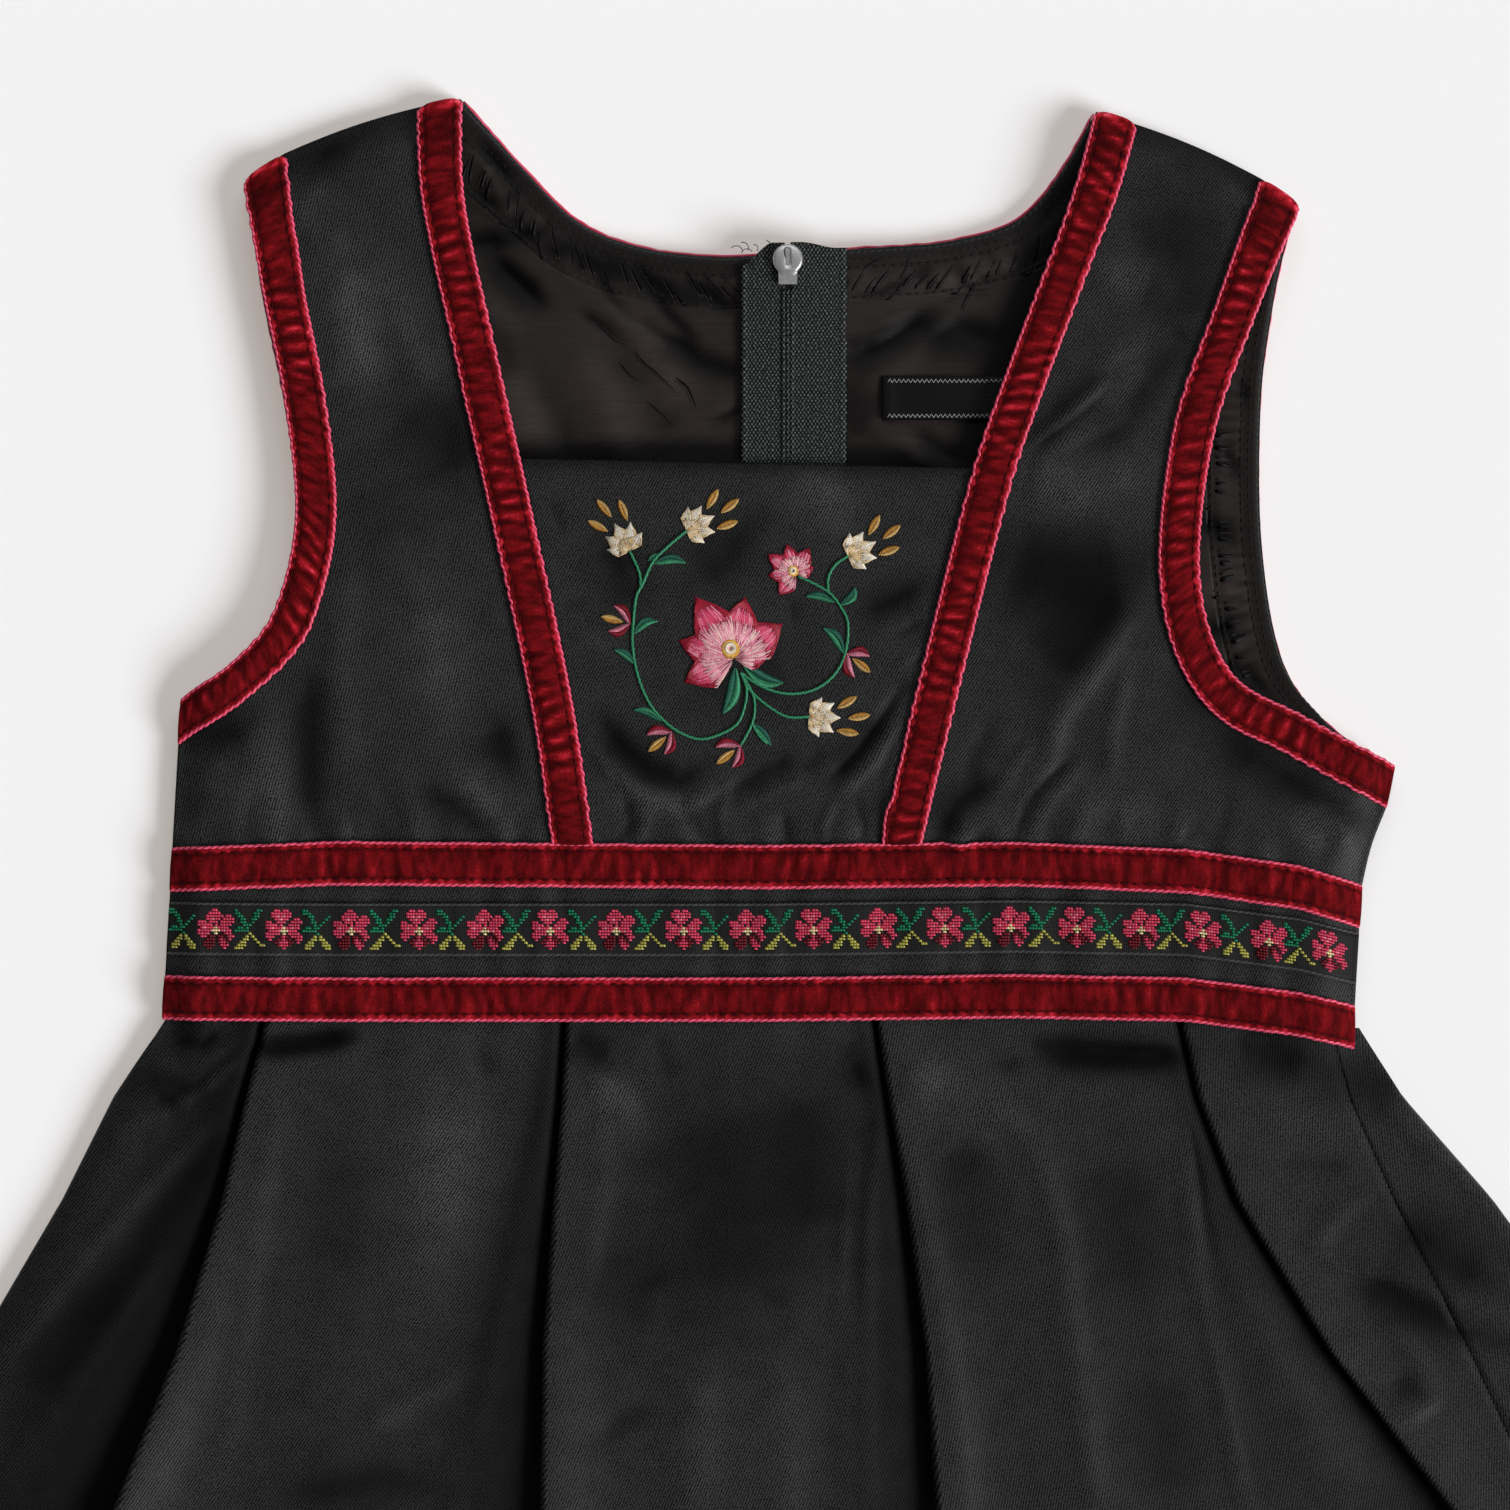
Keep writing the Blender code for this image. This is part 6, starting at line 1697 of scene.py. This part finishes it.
def white_flower(base, angle):
    """A pale flower of five petals, with three gold stamens beyond them."""
    parts = []
    for turn, length, half in WHITE_PETALS:
        bands = ((0.3, 0.98, 13, (PALE, (0.8, 0.74, 0.64)), 0.07),
                 (0.04, 0.5, 8, (PALE, (0.7, 0.5, 0.25)), 0.06))
        parts += petal(base, angle + turn, length, half, bands, 0.8, (0.66, 0.5, 0.3))
    bands = ((0.02, 0.9, 9, (GOLD,), 0.12),)
    parts += petal(base, angle + 6, 3.0, 1.2, bands)
    for turn, distance, own in STAMENS:
        middle = np.array(base) + heading(angle + turn) * distance
        parts += lens(middle - heading(angle + own) * 2.6, middle + heading(angle + own) * 2.6, 0.95,
                      0.0, STAMEN)
    return parts


def lens(base, tip, half, bend, colours):
    """Slanted satin stitches across a leaf, its two halves in two colours."""
    base, tip = np.array(base), np.array(tip)
    run = tip - base
    length = float(np.linalg.norm(run))
    run = run / length
    side = np.array([-run[1], run[0]])
    u = np.linspace(0.02, 0.98, max(int(length / LEAF_PITCH), 4))
    spine = base + u[:, None] * length * run + (bend * np.sin(math.pi * u))[:, None] * side
    reach = half * np.sin(math.pi * u ** 0.8) ** 0.75
    f = np.linspace(0, 1, 4)[None, :, None]
    parts = []
    for turn, colour in zip((1, -1), colours):
        edge = spine + turn * reach[:, None] * side + (reach * 0.7)[:, None] * run
        paths = (spine - turn * 0.08 * side)[:, None] * (1 - f) + edge[:, None] * f
        parts.append(stitched(paths, [colour] * len(u), 0.2, FLOSS_R * 0.9))
    return parts


def bud(base, angle):
    """Two pink petals that part round a gold stamen."""
    rim, light = PINKS[0], PINKS[2]
    parts = []
    for turn, length, bend in ((-34.0, 5.8, -0.9), (32.0, 5.4, 0.9)):
        tip = np.array(base) + heading(angle + turn) * length
        parts += lens(base, tip, 1.2, bend, (rim, light) if turn > 0 else (light, rim))
    middle = np.array(base) + heading(angle) * 1.8
    return parts + lens(middle, middle + heading(angle) * 5.2, 0.95, 0.0, STAMEN)


def embroidery(mats):
    """Stems, leaves, flowers and buds on the centre front, all in one piece."""
    parts = []
    for stem in STEMS:
        path = smooth_path(stem)
        line = on_plastron(path, 0.24)
        rope = cord(line, 0.38, 1.5, per_turn=4)
        # the cord's painted highlight on its lobes in light green, its painted shade between them in
        # green
        share = rope["tone"][:, :1]
        rope["tone"] = share * np.array(LIGHT_GREEN) + (1 - share) * np.array(GREEN)
        parts.append(rope)
    for k, (base, tip, half, bend) in enumerate(LEAVES):
        parts += lens(base, tip, half, bend, (LIGHT_GREEN, TEAL) if k % 2 else (TEAL, LIGHT_GREEN))
    for base, angle in WHITE_FLOWERS:
        parts += white_flower(base, angle)
    for base, angle in BUDS:
        parts += bud(base, angle)
    parts += bloom(BIG_FLOWER, 1) + bloom(SMALL_FLOWER, 0.9)
    make_piece("embroidery", parts, mats)


# ---------------------------------------------------------------- zip and label
KNIT = {"cell": 1.1, "height": 0.2, "step": 0.42, "slope": {"left": 5.6, "right": 1.3}}
KNIT_LOW, CORNER_LOW = 122.0, 170.0     # y above which the loops are modelled and the corners cut
TAPE_RISE = 20.0        # length over which the tapes rise from the skirt's back to the lining
COIL = {"top": 171.5, "radius": 0.62, "pitch": 1.1, "spacing": 1.0}


def tape_z(x, y):
    """The tapes lie on the lining, then on the skirt below the waist."""
    step = np.clip((y - RISE_FROM) / TAPE_RISE, 0.0, 1.0)
    low = CLOTH + GAP + THIN / 2
    return low + (TAPE_Z - low) * step + lift(x, y)


def knit_height(x, y):
    """Interlocked loops of a knitted tape."""
    u, v = x / KNIT["cell"], y / KNIT["cell"]
    odd = np.floor(u) % 2
    sway = 2 * math.pi * (v + 0.5 * odd) + 1.2 * np.cos(2 * math.pi * u)
    return np.abs(np.sin(math.pi * u)) * (0.5 + 0.5 * np.cos(sway))


def zip_tapes(mats):
    """The knitted tapes, with loops where they show, cut corners and a ragged edge."""
    for side, sign in SIGN.items():
        inner, outer, top = ZIP_X - sign * ZIP_SLOT, ZIP_X - sign * TAPE_W[side], TAPE_TOP[side]
        ys = np.concatenate([np.linspace(ZIP_END, KNIT_LOW, 30),
                             np.arange(KNIT_LOW + 2, top, KNIT["step"]), [top]])
        xs = np.linspace(inner, outer, int(TAPE_W[side] / KNIT["step"]))
        x, y = np.meshgrid(xs, ys)
        corner = top - KNIT["slope"][side] * ease((np.abs(x - inner) - 2.5) / 8.0)
        y = np.where(y > CORNER_LOW, CORNER_LOW + (y - CORNER_LOW) * (corner - CORNER_LOW)
                     / (top - CORNER_LOW), y)
        x[:, -1] += RNG.uniform(-0.22, 0.22, len(ys)) * (ys > KNIT_LOW)
        xyz, grain, _ = net(np.dstack([x, y]), tape_z)
        loops = knit_height(x - inner, y)
        selvedge = np.exp(-((np.abs(x - outer) - 0.7) / 0.45) ** 2)
        relief = KNIT["height"] * loops * (1 - selvedge) + 0.3 * selvedge
        xyz = raised(xyz, np.where(y > KNIT_LOW - 1, relief, 0.0))
        # tone: painted highlight on the raised loops and painted shade between them, lighter along the
        # raised selvedge
        parts = [shell([(xyz, grain, grey(0.15 + 0.6 * loops + 0.35 * selvedge))], THIN * 0.8)]
        if side == "left":
            parts += coil() + [fray(*end) for end in FRAY_LEFT]
        make_piece("knit_tape_" + side, parts, mats, "zip_tape_" + side)


FRAY_LEFT = ((-4.4, 180.2, 100.0, 3.6), (-3.2, 180.6, 70.0, 3.0), (-1.0, 180.4, 60.0, 2.2),
             (1.6, 180.4, 40.0, 3.2), (3.4, 180.2, 75.0, 2.6), (-2.2, 180.3, 130.0, 3.2))


def fray(x, y, angle, length):
    """A loose curled thread end at the top of the tape."""
    f = np.linspace(0, 1, 9)
    bend = np.radians(angle) + 2.4 * f
    xs = x + np.concatenate([[0], np.cumsum(np.cos(bend[:-1]))]) * length / 8
    ys = y + np.concatenate([[0], np.cumsum(np.sin(bend[:-1]))]) * length / 8
    line = np.column_stack([xs, ys, tape_z(xs, ys) + 0.3 + 0.5 * f])
    return bundle(line[None], 0.13, [(0.3, 0.3, 0.3)])


def coil():
    """The closed zip's rib, from its lower end up to the slider."""
    ys = np.linspace(ZIP_END, COIL["top"], 700)
    xs = np.full(ys.shape, ZIP_X)
    line = np.column_stack([xs, ys, tape_z(xs, ys) + 0.42])
    return [cord(line + [shift * COIL["spacing"], 0, 0], COIL["radius"], COIL["pitch"], tone_low=0.3)
            for shift in (-1, 0, 1)]


SLIDER_RINGS = (    # the slider's outline shrunk to a share, and its height over the plate
    (1.0, -1.2), (1.02, -0.9), (1.02, -0.35), (0.985, -0.1), (0.93, 0.03), (0.8, 0.14), (0.66, 0.2),
    (0.52, 0.24), (0.38, 0.27), (0.24, 0.28), (0.1, 0.28))
SLIDER_MIDDLE = (0.0, 177.0)
# path of a dark strand of painted shadow along one side of the slider's dent
GROOVE_SHADOW = ((-0.35, 181.2), (-0.72, 180.2), (-0.66, 179.3), (-0.3, 178.4))


def slider(mats):
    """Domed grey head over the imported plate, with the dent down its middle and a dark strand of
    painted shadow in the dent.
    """
    s = SLIDER
    top = TAPE_Z + THIN / 2 + GAP + LIFT["height"] + s["plate"]
    start = math.asin(-(s["head_y"] - 175.6) / s["head_r"])
    arc = [(s["head_r"] * math.cos(a), s["head_y"] + s["head_r"] * math.sin(a))
           for a in np.linspace(start, math.pi - start, 41)]
    foot = [(-s["foot_half"], s["foot_y"]), (s["foot_half"], s["foot_y"])]
    outline = resampled(np.array(arc + foot + arc[:1]), 97)[:-1]
    rows = []
    for share, height in SLIDER_RINGS:
        x, y = (np.array(SLIDER_MIDDLE) + (outline - SLIDER_MIDDLE) * share).T
        dent = np.exp(-(x / 0.55) ** 4) * ease((y - 176.4) / 0.8) * ease((180.9 - y) / 0.8)
        step = 0.22 * ease((175.2 - y) / 0.7)
        z = top + height - (0.55 * dent + step) * (share < 0.97)
        rows.append(np.column_stack([x + ZIP_X, y, z]))
    groove_shadow = smooth_path(GROOVE_SHADOW, 5)
    line = np.column_stack([groove_shadow[:, 0] + ZIP_X, groove_shadow[:, 1], np.full(len(groove_shadow), top + 0.2)])
    taper = 0.2 * np.sin(math.pi * np.linspace(0.12, 0.95, len(groove_shadow)))
    parts = [tubes(np.array(rows)[None]),
             bundle(line[None], taper, [(0.5, 0.5, 0.5)], sides=6, slot=1)]
    make_piece("slider_head", parts, mats)


def label(mats):
    """A blank woven label with a silvery zigzag along two edges and a folded end."""
    level = back_layer(LINING_Z + (THIN + LABEL["thick"]) / 2 + GAP)
    xs, ys = np.linspace(LABEL["left"], LABEL["right"], 60), np.linspace(LABEL["low"], LABEL["high"], 22)
    flat = np.stack(np.meshgrid(xs, ys), -1)
    curl = lambda x, y: (level(x, y) + 0.25 * np.exp(-((x - LABEL["left"] - 1.6) / 1.1) ** 2)
                         + 0.12 * np.sin(x / 4.1) * np.sin(y / 3.0))
    parts = [shell([net(flat, curl)], LABEL["thick"] * 0.6)]
    for y_line in (LABEL["low"] + 0.9, LABEL["high"] - 0.9):
        x = np.linspace(LABEL["left"] + 1.2, LABEL["right"] - 0.4, 56)
        zig = y_line + 0.42 * np.where(np.arange(len(x)) % 2, 1.0, -1.0)
        ends = np.column_stack([x, zig, curl(x, zig) + LABEL["thick"] * 0.3 + 0.06])
        f = np.linspace(0, 1, 3)[None, :, None]
        parts.append(bundle(ends[:-1, None] * (1 - f) + ends[1:, None] * f, 0.07,
                            np.full((len(x) - 1, 3), 0.25), slot=1))
    make_piece("woven_label", parts, mats, "label")


# ---------------------------------------------------------------- stage, light and camera
VIEW = {"centre": (-1.5, 62.0), "width": 354.85, "lens": 100.0, "sensor": 36.0, "height": 7.0}


def stage():
    """A pale floor; its faint warm glow keeps the dress's shadow as pale as the photo's."""
    mesh = bpy.data.meshes.new("studio_floor")
    mesh.from_pydata([(-3, -3, 0), (3, -3, 0), (3, 3, 0), (-3, 3, 0)], [], [(0, 1, 2, 3)])
    obj = placed("studio_floor", mesh)
    # the emission is a painted glow of the floor, no lamp: it lightens the dress's shadow on it
    mat, _, _ = material("studio_white", Base_Color=(0.62, 0.66, 0.70, 1), Roughness=0.95,
                         Specular_IOR_Level=0.1, Emission_Color=(0.28, 0.235, 0.2, 1),
                         Emission_Strength=1.0)
    mesh.materials.append(mat)
    obj.location.z = -0.0004


def soft_light(name, azimuth, zenith, width, strength, colour):
    """A far, wide studio light: degrees round from +X, from straight up, and across."""
    data = bpy.data.lights.new(name, "SUN")
    data.angle, data.energy, data.color = math.radians(width), strength, colour
    placed(name, data).rotation_euler = (math.radians(zenith), 0, math.radians(azimuth + 90))


def lights():
    """A dim white surround, a key light from the lower right and a broad fill."""
    world = bpy.data.worlds.new("studio")
    world.use_nodes = True
    background = world.node_tree.nodes["Background"]
    background.inputs["Color"].default_value = (1.0, 0.99, 0.98, 1)
    background.inputs["Strength"].default_value = 0.12
    bpy.context.scene.world = world
    soft_light("key", -28.0, 59.0, 28.0, 3.9, (1.0, 0.99, 0.985))
    soft_light("fill", 85.0, 50.0, 60.0, 1.2, (0.985, 0.99, 1.0))


def camera():
    """Straight above the dress, framed as in the photo."""
    distance = VIEW["width"] * VIEW["lens"] / VIEW["sensor"]
    data = bpy.data.cameras.new("camera")
    data.lens, data.sensor_width, data.sensor_fit = VIEW["lens"], VIEW["sensor"], "HORIZONTAL"
    data.clip_start, data.clip_end = 0.01, 20.0
    obj = placed("camera", data)
    obj.location = (np.array([*VIEW["centre"], VIEW["height"] + distance]) + SHIFT) * MM
    bpy.context.scene.camera = obj


# ---------------------------------------------------------------- the whole scene
def layout_shift():
    """From the layout's millimetres to the frame's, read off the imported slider."""
    low, high = np.array([list(c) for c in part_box("zip_slider")]) / MM
    return np.array([(low[0] + high[0]) / 2 - ZIP_X, low[1] - SLIDER["foot_y"], 0.0])


SHIFT = layout_shift()


def main():
    """Materials, then pieces, in an order that the shared row of random draws depends on."""
    satin = twill()
    thread = toned("crimson_thread", (0.012, 0.0004, 0.001), (0.07, 0.002, 0.005), Roughness=0.7,
                   Specular_IOR_Level=0.1)
    selvedge = toned("pink_selvedge", (0.2, 0.004, 0.018), (1.0, 0.13, 0.24), Roughness=0.4,
                     Specular_IOR_Level=0.15)
    ribbon_mats = [velvet(), selvedge, thread]
    # black for the woven ribbon's edge cords, and for the painted shadow in the slider's dent
    dark_cord_and_shadow = toned("black_cord_and_shadow", (0.002, 0.002, 0.0022), (0.075, 0.075, 0.077), Roughness=0.6,
                      Specular_IOR_Level=0.15)
    embroidery_thread = floss()
    knit = knitted()
    silver = toned("silver_thread", (0.3, 0.3, 0.3), (0.62, 0.62, 0.62), Roughness=0.4)
    lining_thread = toned("lining_thread", (0.002, 0.002, 0.0022), (0.03, 0.032, 0.033), Roughness=0.6,
                          Specular_IOR_Level=0.12)
    metal = enamel()
    back_panels(satin)
    lining([lining_cloth(), lining_thread])
    zip_tapes([knit])
    label([satin_label(), silver])
    slider([metal, dark_cord_and_shadow])
    skirt(satin)
    front_panels(satin)
    plastron(satin)
    waistband(satin)
    back_ribbons(ribbon_mats)
    front_ribbons(ribbon_mats)
    waist_ribbons(ribbon_mats)
    jacquard([ribbed(), dark_cord_and_shadow, embroidery_thread])
    embroidery([embroidery_thread])
    for node in ("zip_slider", "zip_pull_tab"):
        bpy.data.objects[node].material_slots[0].material = metal
    stage()
    lights()
    camera()
    bpy.context.scene.view_settings.view_transform = "Standard"


main()
